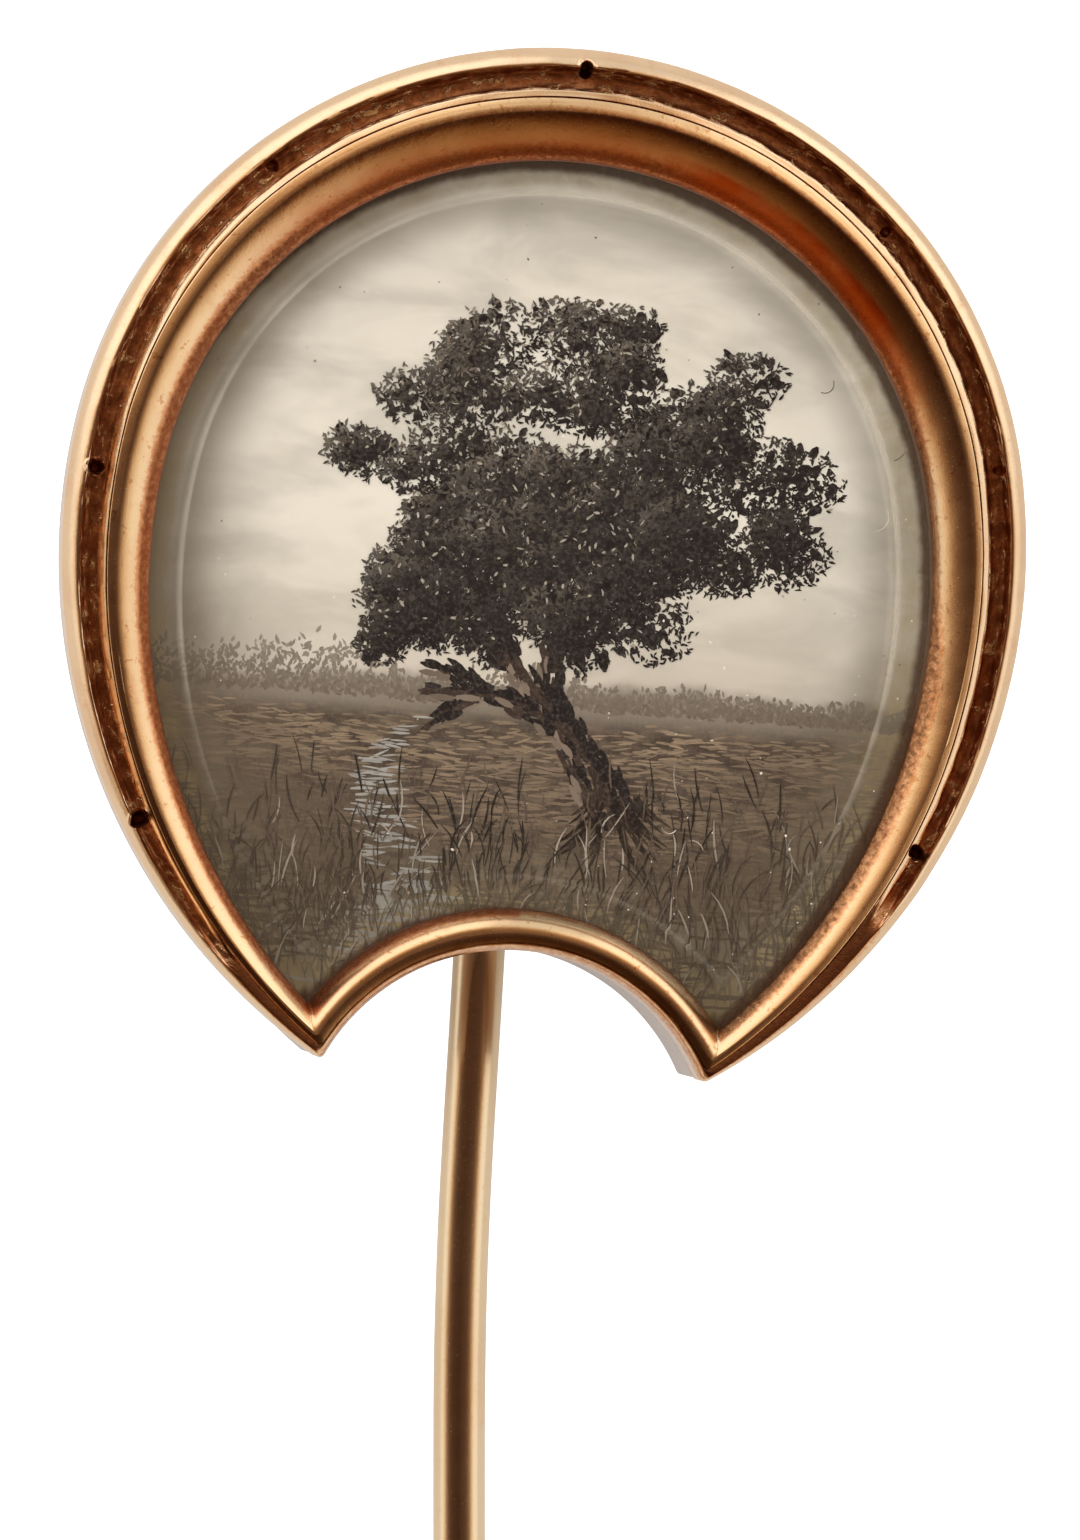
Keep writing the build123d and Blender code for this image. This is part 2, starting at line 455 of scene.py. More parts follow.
def top_drop(part, station, place):
    """Height below the crest, in mm, of the case's top: shoulder, groove and ridge."""
    here = Vector(place) / MM
    here.z = 0.0
    wander = 0.017 * noise.noise(here * 0.5) + 0.010 * noise.noise(here * 1.7 + Vector((3, 1, 4)))
    wander *= smooth(0.0, 0.15, part) * (1 - smooth(0.93, 1.0, part))
    drop = float(np.interp(part + wander, PROFILE_SHARES, PROFILE_DROPS))
    drop *= 1 + (ridge_lean(place) - 1) * smooth(0.74, 0.85, part)
    drop += toe_lift(place) * smooth(0.80, 1.0, part)
    drop *= 1 - 0.30 * max(0.0, 1 - ridge_lean(place)) / 0.28 * (1 - smooth(0.30, 0.36, part))
    drop = end_drop(part) + (drop - end_drop(part)) * groove_left(station, here.x)
    branch = drop * width_share(station) ** 0.6
    blend = smooth(TIP_STATION - 3, HEEL_STATION + 1, station)
    return branch + (heel_drop(part) - branch) * blend


FULL_WIDTH = 0.82 * MM
# Across, up, size and depth of each nail hole, against a full one
NAIL_HOLES = (
    (0.14, 9.07, 0.88, 0.85), (-5.69, 6.85, 0.72, 0.45), (6.08, 6.42, 0.62, 0.40),
    (-8.65, 0.93, 0.92, 0.80), (8.55, 2.04, 0.60, 0.32), (-7.40, -5.67, 1.0, 1.0),
    (7.43, -5.32, 0.88, 0.95),
)
HOLE_RADIAL = 0.175
HOLE_ALONG = 0.150
HOLE_DEPTH = 0.5
REFINED_ROUND_HOLE = 0.40 * MM
MOVED_ROUND_HOLE = 0.5 * MM
BURR_HEIGHT = 0.045 * MM


def width_share(station):
    """Width of the case's top at a station, as a share of the full one."""
    if station <= ARC_STEPS[0]:
        return 1.0
    turn = radians(branch_turn(station))
    width = (1.044 * sin(turn) + 0.264 * cos(turn) - 0.15) * MM
    return min(max(width / FULL_WIDTH, 0.2), 1.0)


def model_case():
    """Draws the band, the box wall and the back as one closed solid."""
    head = bpy.context.scene.pin_head
    crest = head.head_depth
    seat = crest - head.band_depth
    pocket = SIGHT.grown(head.lip_cover + head.seat_gap)
    inner = COLLAR.grown(head.seat_gap)
    rings = [(pocket, head.back_plate), (pocket, seat), (inner, seat)]
    first_top = len(rings)
    for part, drop in CASE_PROFILE:
        rings.append((RIM.towards(inner, part), crest - drop * MM))
    last_top = len(rings) - 1
    rings += [(RIM, crest - 0.62 * MM), (RIM, crest - 0.95 * MM), (RIM, seat + 0.05 * MM),
              (RIM.grown(-0.015 * MM), seat + 0.015 * MM), (RIM.grown(-0.05 * MM), seat)]
    rings += [(BOX.grown(-0.001 * MM), seat - 0.001 * MM), (BOX.grown(-0.002 * MM), 1.7 * MM),
              (BOX, 0.9 * MM), (BOX, head.edge_round)]
    for turn in (30, 60, 90):
        bend = radians(turn)
        rings.append((BOX.grown(-head.edge_round * (1 - cos(bend))),
                      head.edge_round * (1 - sin(bend))))
    rings.append((BOX.grown(-2.5 * head.edge_round), 0.0))
    piece = draw_rings("horseshoe_case", rings)
    bridge_rings(zip(range(len(rings) - 1), range(1, len(rings))))
    cap_ring(0)
    cap_ring(len(rings) - 1)
    mirror_half(piece)
    turn_faces_out()
    return piece, first_top, last_top


def punch_nail_holes(piece):
    """Refines the mesh round each nail hole and sinks a rough oval hole with a burr."""
    crest = bpy.context.scene.pin_head.head_depth
    bpy.ops.object.mode_set(mode="EDIT")
    bpy.ops.mesh.select_mode(type="FACE")
    for across, up, _size, _depth in NAIL_HOLES:
        bpy.ops.mesh.select_all(action="DESELECT")
        mesh = bmesh.from_edit_mesh(piece.data)
        centre = Vector((across * MM, up * MM))
        for face in mesh.faces:
            middle = face.calc_center_median()
            near = (middle.xy - centre).length < REFINED_ROUND_HOLE
            face.select = near and middle.z > crest - 0.5 * MM and face.calc_area() < 1e-7
        bmesh.update_edit_mesh(piece.data)
        bpy.ops.mesh.subdivide(number_cuts=4, smoothness=0)
    bpy.ops.mesh.select_mode(type="VERT")
    bpy.ops.object.mode_set(mode="OBJECT")
    places = read_vertices(piece)
    hole = np.zeros(len(places))
    for number, (across, up, size, depth) in enumerate(NAIL_HOLES):
        centre = np.array((across, up)) * MM
        radial = centre / np.linalg.norm(centre)
        along = np.array((-radial[1], radial[0]))
        step = places[:, :2] - centre
        near = np.linalg.norm(step, axis=1) < MOVED_ROUND_HOLE
        near &= places[:, 2] > crest - 0.6 * MM
        for i in np.nonzero(near)[0]:
            a = step[i] @ radial / (HOLE_RADIAL * MM * size)
            b = step[i] @ along / (HOLE_ALONG * MM * size)
            turn = atan2(b, a)
            rough = noise.noise(Vector((cos(turn) * 1.3, sin(turn) * 1.3, number * 7.7)))
            reach = hypot(a, b) * (1 + 0.16 * rough)
            sunk = 1 - smooth(0.45, 1.12, reach)
            side = 0.5 + 0.5 * cos(turn - number * 2.1)
            burr = max(0.0, 1 - abs(reach - 1.30) / 0.28) ** 2 * side * (0.7 + rough)
            places[i, 2] += BURR_HEIGHT * burr * depth
            places[i, 2] -= sunk * depth * (HOLE_DEPTH * MM - (crest - places[i, 2]) * 0.6)
            hole[i] = max(hole[i], (0.35 + 0.65 * depth) * (1 - smooth(0.85, 1.25, reach)))
    write_vertices(piece, places)
    return hole


class PIN_OT_horseshoe_case(bpy.types.Operator):
    """Model the horseshoe band with its nailing groove, the box wall and the back plate"""
    bl_idname = "pin.horseshoe_case"
    bl_label = "Horseshoe case"

    def execute(self, context):
        head = context.scene.pin_head
        piece, first_top, last_top = model_case()
        rings = read_layer(piece, "ring") - 1
        stations = read_layer(piece, "station")
        grime_and_shade = np.zeros(len(rings))
        groove = np.zeros(len(rings))
        places = read_vertices(piece)
        for i, (ring, station) in enumerate(zip(rings, stations)):
            # The pocket under the bezel is painted fully dark.
            if ring < first_top:
                grime_and_shade[i] = 1.0
            elif ring <= last_top:
                part, drop = CASE_PROFILE[ring - first_top]
                places[i, 2] = head.head_depth - top_drop(part, station, places[i]) * MM
                heel = smooth(TIP_STATION - 4, HEEL_STATION, station)
                left = groove_left(station, places[i, 0]) * (1 - heel)
                if ring - first_top in GROOVE_RINGS:
                    groove[i] = left * smooth(0.05, 0.2, drop)
                    grime_and_shade[i] = 0.55 * groove[i] * smooth(0.10, 0.28, drop)
                seam = (0.42, 0.14, 0.0)
                if ring - first_top < len(seam):
                    grime_and_shade[i] = seam[ring - first_top] * (1 - 0.7 * heel)
                plain = (1 - left) * (1 - heel)
                grime_and_shade[i] = max(grime_and_shade[i], 0.42 * plain * smooth(0.12, 0.5, part), 0.30 * heel)
        write_vertices(piece, places)
        float_layer(piece, "grime_and_shade", grime_and_shade)
        float_layer(piece, "groove", groove)
        hole = punch_nail_holes(piece)
        grime_and_shade = read_layer(piece, "grime_and_shade", np.float32)
        groove = read_layer(piece, "groove", np.float32)
        places = read_vertices(piece)
        normals = np.array([v.normal for v in piece.data.vertices])
        wobble = head.hand_wobble
        for i, place in enumerate(places):
            if place[2] < head.head_depth - 0.7 * MM:
                continue
            here = Vector(place) / MM
            slow = noise.noise(here * 0.9)
            quick = noise.noise(here * 3.1 + Vector((5, 1, 2)))
            move = wobble * (0.8 * slow + 0.45 * quick)
            deep = groove[i] * (1 - hole[i])
            if deep > 0.02:
                marks = noise.noise(here * 2.4 + Vector((7, 2, 5)))
                pits = noise.noise(here * 5.5)
                move += deep * MM * (0.020 * marks + 0.014 * pits)
            places[i] += normals[i] * move
        write_vertices(piece, places)
        # The nail holes are painted dark as well, the deeper ones darker.
        float_layer(piece, "grime_and_shade", np.maximum(grime_and_shade, hole))
        float_layer(piece, "hole", hole)
        place_on_head(piece)
        finish_piece(piece, rose_gold_case(), ["case_and_stem"])
        return {"FINISHED"}


# Bezel, crystal and plaque

# Inset in mm, and height below the crest in mm on the branches and on the heel arc
BEZEL_EDGE = ((0.0, 0.088, 0.034), (0.010, 0.066, 0.030), (0.028, 0.056, 0.024),
              (0.053, 0.043, 0.016), (0.078, 0.031, 0.010), (0.103, 0.020, 0.005),
              (0.128, 0.010, 0.002))
BEZEL_SPREAD = 0.040 * MM
ROLL_START = 0.155 * MM
TOE_STEP = 0.09 * MM
ROLL_STEPS = 22
# Share of the way from the crest to the lip, and the slope there in degrees
BRANCH_SLOPES = ((0.0, 2.0), (0.05, 10.0), (0.10, 17.0), (0.20, 23.0), (0.35, 28.0), (0.50, 33.0),
                 (0.60, 36.5), (0.72, 41.0), (0.83, 46.0), (0.92, 54.0), (0.97, 66.0), (1.0, 78.0))
HEEL_SLOPES = ((0.0, 2.0), (0.16, 9.0), (0.26, 20.0), (0.37, 32.0), (0.50, 41.0), (0.62, 49.0),
               (0.74, 57.0), (0.87, 63.0), (1.0, 72.0))


def slope_drops(slopes, parts):
    """Drop at each share of the way, for a way one unit wide, that the slopes add up to."""
    fine = np.linspace(0, 1, 401)
    steep = np.tan(np.radians(np.interp(fine, *zip(*slopes))))
    drops = np.concatenate(([0], np.cumsum((steep[1:] + steep[:-1]) / 2))) / 400
    return np.interp(parts, fine, drops).tolist()


def ring_places(ring):
    """Plan place of every station on a numbered line of the piece in edit mode."""
    mesh = bmesh.from_edit_mesh(bpy.context.object.data)
    rings = mesh.verts.layers.int["ring"]
    stations = mesh.verts.layers.int["station"]
    return {vert[stations]: vert.co.xy.copy() for vert in mesh.verts if vert[rings] == ring + 1}


def bezel_wear(numbers, stations, places, roll_first, parts):
    """Mask of the dark seam and of the painted shade on the slope by the crystal, copper stain and
    share of the way to the lip, for every vertex of the collar.
    """
    roll_last = roll_first + len(parts) - 1
    grime_and_shade = np.zeros(len(numbers))
    lean = np.zeros(len(numbers))
    copper = np.zeros(len(numbers))
    for i, ring in enumerate(numbers):
        heel = smooth(TIP_STATION - 2, HEEL_STATION, stations[i])
        bearing = degrees(atan2(places[i, 0], places[i, 1]))
        toe = 1 - smooth(35, 75, abs(bearing - 8))
        right = smooth(55, 85, bearing)
        left = smooth(20, 65, -bearing)
        branch = smooth(88, 108, bearing)
        if roll_first <= ring <= roll_last:
            lean[i] = parts[ring - roll_first]
            # Painted shade: the slope is painted darker towards the crystal's lip, from a start that
            # shifts with the side of the head as the light falls there; the toe's crest is painted
            # darker too.
            start = 0.62 - 0.06 * heel - 0.10 * toe + 0.14 * right
            start -= (0.15 * left + 0.34 * branch) * (1 - heel)
            grime_and_shade[i] = (0.62 + 0.12 * left) * smooth(start, start + 0.30, lean[i])
            grime_and_shade[i] = max(grime_and_shade[i], smooth(0.93, 1.0, lean[i]))
            grime_and_shade[i] = max(grime_and_shade[i], 0.26 * toe * (1 - smooth(0.10, 0.35, lean[i])))
            red = smooth(4, 22, bearing) * (1 - smooth(50, 72, bearing))
            copper[i] = red * smooth(0.38, 0.55, lean[i]) * (1 - smooth(0.90, 0.99, lean[i]))
            copper[i] = max(copper[i], 0.50 * toe * smooth(0.25, 0.62, lean[i]))
            copper[i] = max(copper[i], 0.34 * left * smooth(0.40, 0.80, lean[i]))
        elif ring > roll_last:
            lean[i] = 1.0
            grime_and_shade[i] = 1.0
        else:
            seam = (1.0, 0.40, 0.12, 0.0)
            grime_and_shade[i] = seam[min(ring, 3)] * (1 - 0.7 * heel)
    return grime_and_shade, copper, lean


class PIN_OT_bezel_collar(bpy.types.Operator):
    """Model the rolled gold collar that leans over the crystal"""
    bl_idname = "pin.bezel_collar"
    bl_label = "Bezel collar"

    def execute(self, context):
        head = context.scene.pin_head
        crest = head.head_depth
        seat = crest - head.band_depth + head.seat_gap
        sight_height = crest - head.roll_drop
        girdle = SIGHT.grown(head.lip_cover + head.seat_gap)
        outer = COLLAR.grown(BEZEL_SPREAD)
        crest_line = outer.grown(-ROLL_START)
        crest_line = crest_line._replace(toe_top=crest_line.toe_top - TOE_STEP)
        rings = [(outer, seat)]
        rings += [(outer.grown(-inset * MM), crest - drop * MM)
                  for inset, drop, _heel in BEZEL_EDGE]
        roll_first = len(rings)
        parts = [1 - (1 - k / ROLL_STEPS) ** 1.2 for k in range(ROLL_STEPS + 1)]
        rings += [(crest_line.towards(SIGHT, part), crest) for part in parts]
        roll_last = len(rings) - 1
        lip = sight_height - head.lip_thickness
        rings += [(SIGHT, sight_height), (SIGHT.grown(0.012 * MM), lip), (girdle, lip),
                  (girdle, seat)]
        piece = draw_rings("bezel_collar", rings)
        starts, ends = ring_places(roll_first), ring_places(roll_last)
        branch_drops = slope_drops(BRANCH_SLOPES, parts)
        heel_drops = slope_drops(HEEL_SLOPES, parts)

        def height(ring, station, place):
            """Outer edge beside the seam, then a slope that steepens towards the lip."""
            if 1 <= ring < roll_first:
                _inset, drop, heel = BEZEL_EDGE[ring - 1]
                branch = drop * width_share(station) ** 0.5 * ridge_lean(place)
                branch += toe_lift(place)
                blend = smooth(TIP_STATION - 5, HEEL_STATION + 1, station)
                return crest - (branch + (heel - branch) * blend) * MM
            if roll_first <= ring <= roll_last:
                number = ring - roll_first
                blend = smooth(TIP_STATION + 1, HEEL_STATION - 1, station)
                drop = branch_drops[number] + (heel_drops[number] - branch_drops[number]) * blend
                return crest - drop * (ends[station] - starts[station]).length
            return place.z

        move_vertices(height)
        bridge_rings(list(zip(range(len(rings) - 1), range(1, len(rings))))
                     + [(len(rings) - 1, 0)])
        mirror_half(piece)
        turn_faces_out()
        numbers = read_layer(piece, "ring") - 1
        stations = read_layer(piece, "station")
        places = read_vertices(piece)
        grime_and_shade, copper, lean = bezel_wear(numbers, stations, places, roll_first, parts)
        normals = np.array([v.normal for v in piece.data.vertices])
        for i, place in enumerate(places):
            here = Vector(place) / MM
            slow = noise.noise(here * 0.7 + Vector((9, 4, 1)))
            quick = noise.noise(here * 2.6 + Vector((1, 8, 2)))
            free = 1 - smooth(0.85, 0.97, lean[i])
            places[i] += normals[i] * head.hand_wobble * free * (1.1 * slow + 0.5 * quick)
        write_vertices(piece, places)
        float_layer(piece, "grime_and_shade", grime_and_shade)
        float_layer(piece, "copper", copper)
        place_on_head(piece)
        finish_piece(piece, rose_gold_bezel(), ["bezel"])
        return {"FINISHED"}


class PIN_OT_bevelled_crystal(bpy.types.Operator):
    """Model the flat crystal with its bevelled border"""
    bl_idname = "pin.bevelled_crystal"
    bl_label = "Bevelled crystal"

    def execute(self, context):
        head = context.scene.pin_head
        top = head.head_depth - head.crystal_drop
        bottom = top - head.crystal_depth
        girdle = SIGHT.grown(head.lip_cover)
        table = SIGHT.grown(-head.bevel_width)
        slope = head.bevel_drop / (head.bevel_width + head.lip_cover)
        ease = 0.05 * MM
        rings = [
            (girdle.grown(-0.6 * MM), bottom), (girdle.grown(-0.05 * MM), bottom),
            (girdle, bottom + 0.05 * MM), (girdle, top - head.bevel_drop),
            (table.grown(ease), top - ease * slope),
            (table.grown(ease * 0.4), top - ease * slope * 0.25),
            (table.grown(-ease * 0.3), top - ease * slope * 0.02),
            (table.grown(-ease * 1.5), top), (table.grown(-0.4 * MM), top)]
        piece = draw_rings("bevelled_crystal", rings)
        bridge_rings(zip(range(len(rings) - 1), range(1, len(rings))))
        cap_ring(0)
        cap_ring(len(rings) - 1)
        mirror_half(piece)
        turn_faces_out()
        place_on_head(piece)
        finish_piece(piece, clear_crystal(), ["crystal"], crease=radians(30))
        return {"FINISHED"}


class PIN_OT_bevel_edge(bpy.types.Operator):
    """Model a thin pale ribbon along the crystal's bevel: a painted highlight where the bevel's edge
    catches the light
    """
    bl_idname = "pin.bevel_edge"
    bl_label = "Bevel edge"

    def execute(self, context):
        head = context.scene.pin_head
        top = head.head_depth - head.crystal_drop
        table = SIGHT.grown(-head.bevel_width)
        spread = (0.13, 0.075, 0.028, 0.0, -0.03)
        glow = (0.0, 0.42, 1.0, 0.55, 0.0)
        slope = head.bevel_drop / (head.bevel_width + head.lip_cover)
        rings = [(table.grown(out * MM), top - (max(out, 0.0) * slope - 0.004) * MM)
                 for out in spread]
        rings += [(table.grown(out * MM), top - (max(out, 0.0) * slope + 0.004) * MM)
                  for out in reversed(spread)]
        piece = draw_rings("bevel_edge", rings)
        bridge_rings(zip(range(len(rings)), [*range(1, len(rings)), 0]))
        mirror_half(piece)
        turn_faces_out()
        strength = np.array((*glow, *reversed(glow)))[read_layer(piece, "ring") - 1]
        float_layer(piece, "glow", strength)
        place_on_head(piece)
        finish_piece(piece, bevel_line(), ["crystal"])
        return {"FINISHED"}


class PIN_OT_painted_miniature(bpy.types.Operator):
    """Model the enamelled plaque that carries the painting"""
    bl_idname = "pin.painted_miniature"
    bl_label = "Painted miniature"

    def execute(self, context):
        head = context.scene.pin_head
        top = head.head_depth - head.crystal_drop - head.crystal_depth - head.seat_gap
        bottom = top - head.miniature_depth
        girdle = SIGHT.grown(head.lip_cover)
        rings = [(girdle.grown(-0.5 * MM), bottom), (girdle.grown(-0.04 * MM), bottom),
                 (girdle, bottom + 0.04 * MM), (girdle, top - 0.03 * MM),
                 (girdle.grown(-0.03 * MM), top), (girdle.grown(-0.5 * MM), top)]
        piece = draw_rings("painted_miniature", rings)
        bridge_rings(zip(range(len(rings) - 1), range(1, len(rings))))
        cap_ring(0)
        cap_ring(len(rings) - 1)
        mirror_half(piece)
        turn_faces_out()
        place_on_head(piece)
        finish_piece(piece, painted_ground(), ["miniature"])
        return {"FINISHED"}


# The painting's brushwork

PAINT_SEED = 1873
MEADOW_DABS = 2600
GRASS_BLADES = 1500
# Places on the painting, in mm on the head
HORIZON = -3.1
TREE_FOOT = (1.75, -5.3)
LOWEST_LEAVES = -2.2
CROWN = (0.75, 0.95)
CLUMP_HEIGHT = 0.78
LIGHT_WAY = np.array((-0.62, 0.78))


def srgb(red, green, blue):
    """A paint colour given as screen values from 0 to 255, in linear light."""
    values = np.array((red, green, blue)) / 255.0
    return np.where(values <= 0.04045, values / 12.92, ((values + 0.055) / 1.055) ** 2.4)


MIST = srgb(150, 142, 130)
FAR_BROWN = srgb(112, 100, 88)
TURF_LIGHT = srgb(138, 120, 100)
TURF_DARK = srgb(62, 48, 38)
STREAM_GREY = srgb(170, 168, 164)
NEAR_BLACK = srgb(27, 23, 25)
BARK = srgb(58, 46, 40)
BARK_LIGHT = srgb(122, 108, 96)
LEAF_GREY = srgb(150, 140, 128)
LEAF_PALE = srgb(176, 168, 156)
# Share of the blades up to each paint
GRASS_PAINTS = ((0.55, srgb(34, 28, 26)), (0.90, srgb(96, 82, 70)), (1.0, srgb(168, 158, 146)))


class Brush:
    """Collects tapered strokes of paint and turns them into one mesh."""

    def __init__(self):
        self.places = []
        self.faces = []
        self.colours = []
        self.count = 0

    def stroke(self, start, heading, span, width, paint, level, bend=0.0, sections=4):
        """One stroke: a curved ribbon that swells and tapers, on a level of paint."""
        along = np.linspace(0.0, 1.0, sections)
        headings = heading + bend * along
        steps = span / (sections - 1)
        xs = start[0] + np.concatenate(([0], np.cumsum(np.cos(headings[:-1])))) * steps
        ys = start[1] + np.concatenate(([0], np.cumsum(np.sin(headings[:-1])))) * steps
        swell = width * 0.5 * np.clip(np.sin(pi * (0.12 + 0.83 * along)) ** 0.7, 0.06, 1)
        first = self.count
        for x, y, w, turn in zip(xs, ys, swell, headings):
            aside = (-sin(turn) * w, cos(turn) * w)
            self.places.append((x + aside[0], y + aside[1], level))
            self.places.append((x - aside[0], y - aside[1], level))
            self.colours.append((*paint, 1.0))
            self.colours.append((*paint, 1.0))
        for k in range(sections - 1):
            a = first + 2 * k
            self.faces.append((a + 1, a + 3, a + 2, a))
        self.count += 2 * sections


def inside_sight(x, y, margin=-0.25):
    """True where a point of the painting, in mm, lies under the clear part of the crystal."""
    toe, branch = SIGHT_TOE / MM, SIGHT_BRANCH / MM
    if hypot(x, y - HEEL_CENTRE / MM) < SIGHT.heel_radius / MM + margin:
        return False
    if y > 0:
        return hypot(x, y - toe.y) < SIGHT.toe_radius / MM - margin
    return hypot(abs(x) - branch.x, y - branch.y) < SIGHT.branch_radius / MM - margin


def paint_far_trees(brush, rng):
    """Low misty trees along the horizon."""
    for _ in range(MEADOW_DABS):
        x = rng.uniform(-7.6, 7.6)
        rise = 0.62 + 0.5 * noise.noise(Vector((x * 0.45, 1.7, 0))) + 0.55 * smooth(-1.5, -4.5, x)
        rise += 0.16 * noise.noise(Vector((x * 2.3, 0.4, 0)))
        y = HORIZON + rng.triangular(0, 0.1, 1.0) * rise
        if not inside_sight(x, y):
            continue
        depth = min(1.0, (y - HORIZON) / 1.2)
        paint = (FAR_BROWN * (1 - depth) + MIST * depth) * rng.uniform(0.82, 1.12)
        brush.stroke((x, y), rng.normal(pi / 2, 0.7), rng.uniform(0.07, 0.17),
                     rng.uniform(0.04, 0.09), paint, 0.001 + rng.uniform(0, 0.001), 0.4, 3)


def paint_meadow(brush, rng):
    """Level dabs of turf, darker towards the front, and a pale stream that winds through it."""
    for _ in range(MEADOW_DABS):
        y = HORIZON - abs(rng.triangular(0, 0.6, 5.6))
        x = rng.uniform(-7.6, 7.6)
        if not inside_sight(x, y):
            continue
        depth = min(1.0, (HORIZON - y) / 5.0)
        patch = noise.noise(Vector((x * 0.35, y * 1.1, 4.2)))
        light = TURF_LIGHT * (1 - depth) + TURF_DARK * depth
        light = light * (1 + 0.55 * patch) * rng.uniform(0.75, 1.25)
        stream = abs(x + 1.9 + 0.9 * sin(y * 1.1) - 0.45 * (y + 4)) - (0.10 + 0.17 * (HORIZON - y))
        if stream < 0:
            light = STREAM_GREY * rng.uniform(0.7, 1.05)
        brush.stroke((x, y), rng.normal(0, 0.12), rng.uniform(0.3, 0.7) * (0.5 + depth),
                     rng.uniform(0.035, 0.07) * (0.7 + 0.6 * depth), np.clip(light, 0, 1),
                     0.003 + rng.uniform(0, 0.002), rng.normal(0, 0.15), 4)


def paint_bough(brush, rng, tips, start, heading, span, width, level):
    """A bough of short overlapping strokes, which forks at its end and adds to the list of tips."""
    x, y = start
    turn = heading
    pieces = max(3, int(span / 0.22))
    for k in range(pieces):
        part = k / pieces
        here = width * (1 - 0.5 * part)
        for _ in range(max(1, int(here / 0.05))):
            offset = rng.uniform(-0.5, 0.5)
            shade = BARK_LIGHT if offset < -0.22 and rng.random() < 0.55 else BARK
            if offset > 0.15 or rng.random() < 0.35:
                shade = NEAR_BLACK
            brush.stroke((x - sin(turn) * here * -offset, y + cos(turn) * here * -offset),
                         turn + rng.normal(0, 0.08), span / pieces * rng.uniform(1.2, 2.0),
                         min(here * 0.45, 0.11) + 0.02, shade * rng.uniform(0.75, 1.2),
                         0.008 + 0.001 * level + rng.uniform(0, 0.0009),
                         rng.normal(0, 0.15), 4)
        turn += rng.normal(0, 0.11)
        x += cos(turn) * span / pieces
        y += sin(turn) * span / pieces
        if level >= 2 and k > pieces // 2 and y > LOWEST_LEAVES:
            tips.append((x, y))
    if level >= 5 or width < 0.035 or y < -2.0 and level > 1:
        if y > LOWEST_LEAVES:
            tips.append((x, y))
        return
    forks = 3 if level < 3 and rng.random() < 0.75 else 2
    for fork in range(forks):
        spread = (fork - (forks - 1) / 2) * rng.uniform(0.55, 0.85)
        paint_bough(brush, rng, tips, (x, y), turn + spread + rng.normal(0, 0.12),
                    span * rng.uniform(0.62, 0.82), width * rng.uniform(0.55, 0.68), level + 1)


def paint_roots(brush, rng):
    """Roots that spread to both sides of the tree's foot."""
    for side in (-1, 1):
        for _ in range(26):
            spread = rng.uniform(0.2, 1.0)
            brush.stroke((TREE_FOOT[0] + side * spread * 0.5, -4.9 + rng.uniform(-0.5, 0.35)),
                         radians(-90 + side * 42 * spread), rng.uniform(0.4, 0.9),
                         0.07, BARK * rng.uniform(0.35, 1.0), 0.0145, side * 0.5, 4)


def leaf_clusters(rng, tips):
    """Light, place and size of each clump of leaves, from the darkest to the best lit."""
    clusters = []
    for x, y in tips:
        if rng.random() < 0.55:
            clusters.append((x + rng.normal(0, 0.18), y + rng.normal(0, 0.18),
                             rng.uniform(0.42, 0.78)))
    for _ in range(78):
        turn = rng.uniform(0, 2 * pi)
        reach = rng.uniform(0.0, 0.92) ** 0.55
        clusters.append((CROWN[0] + cos(turn) * reach * 4.9, CROWN[1] + sin(turn) * reach * 3.5,
                         rng.uniform(0.55, 1.05)))
    order = []
    for x, y, size in clusters:
        if not inside_sight(x, y, 0.15):
            continue
        lit = ((np.array((x, y)) - CROWN) / (4.4, 3.5)) @ LIGHT_WAY
        order.append((lit + rng.normal(0, 0.28), x, y, size))
    order.sort()
    return order


def paint_cluster(brush, rng, cluster, level):
    """One clump: broad dark dabs, then fine leaves that catch the light on its lit side."""
    lit, x, y, size = cluster
    leaves = int(215 * size / 0.6)
    tone = smooth(-0.8, 1.25, lit)
    for _ in range(22):
        turn = rng.uniform(0, 2 * pi)
        reach = rng.uniform(0, 1) ** 0.6 * 0.80
        px = x + cos(turn) * reach * size
        py = y + sin(turn) * reach * size * CLUMP_HEIGHT
        if inside_sight(px, py, 0.0):
            brush.stroke((px, py), rng.uniform(0, 2 * pi), rng.uniform(0.16, 0.34),
                         rng.uniform(0.10, 0.20), NEAR_BLACK * rng.uniform(0.9, 1.6),
                         level, rng.normal(0, 0.4), 4)
    for _ in range(leaves):
        turn = rng.uniform(0, 2 * pi)
        reach = rng.uniform(0, 1) ** 0.55
        px = x + cos(turn) * reach * size
        py = y + sin(turn) * reach * size * CLUMP_HEIGHT
        if not inside_sight(px, py):
            continue
        facing = 0.5 + 0.5 * (np.array((cos(turn), sin(turn))) @ LIGHT_WAY) * reach
        shine = facing ** 2.2 * (0.25 + 0.75 * tone) * rng.uniform(0.55, 1.2)
        warm = rng.uniform(-1, 1)
        paint = NEAR_BLACK * (1 - shine) + LEAF_GREY * shine * 0.62
        paint = paint * np.array((1 + 0.10 * warm, 1.0, 1 - 0.12 * warm))
        if rng.random() < 0.035 * (0.4 + tone):
            paint = LEAF_PALE * rng.uniform(0.7, 1.0)
        brush.stroke((px, py), rng.uniform(0, 2 * pi), rng.uniform(0.07, 0.15),
                     rng.uniform(0.032, 0.060), np.clip(paint, 0, 1),
                     level + reach * 0.0002 + rng.uniform(0, 0.0001), rng.normal(0, 0.5), 3)


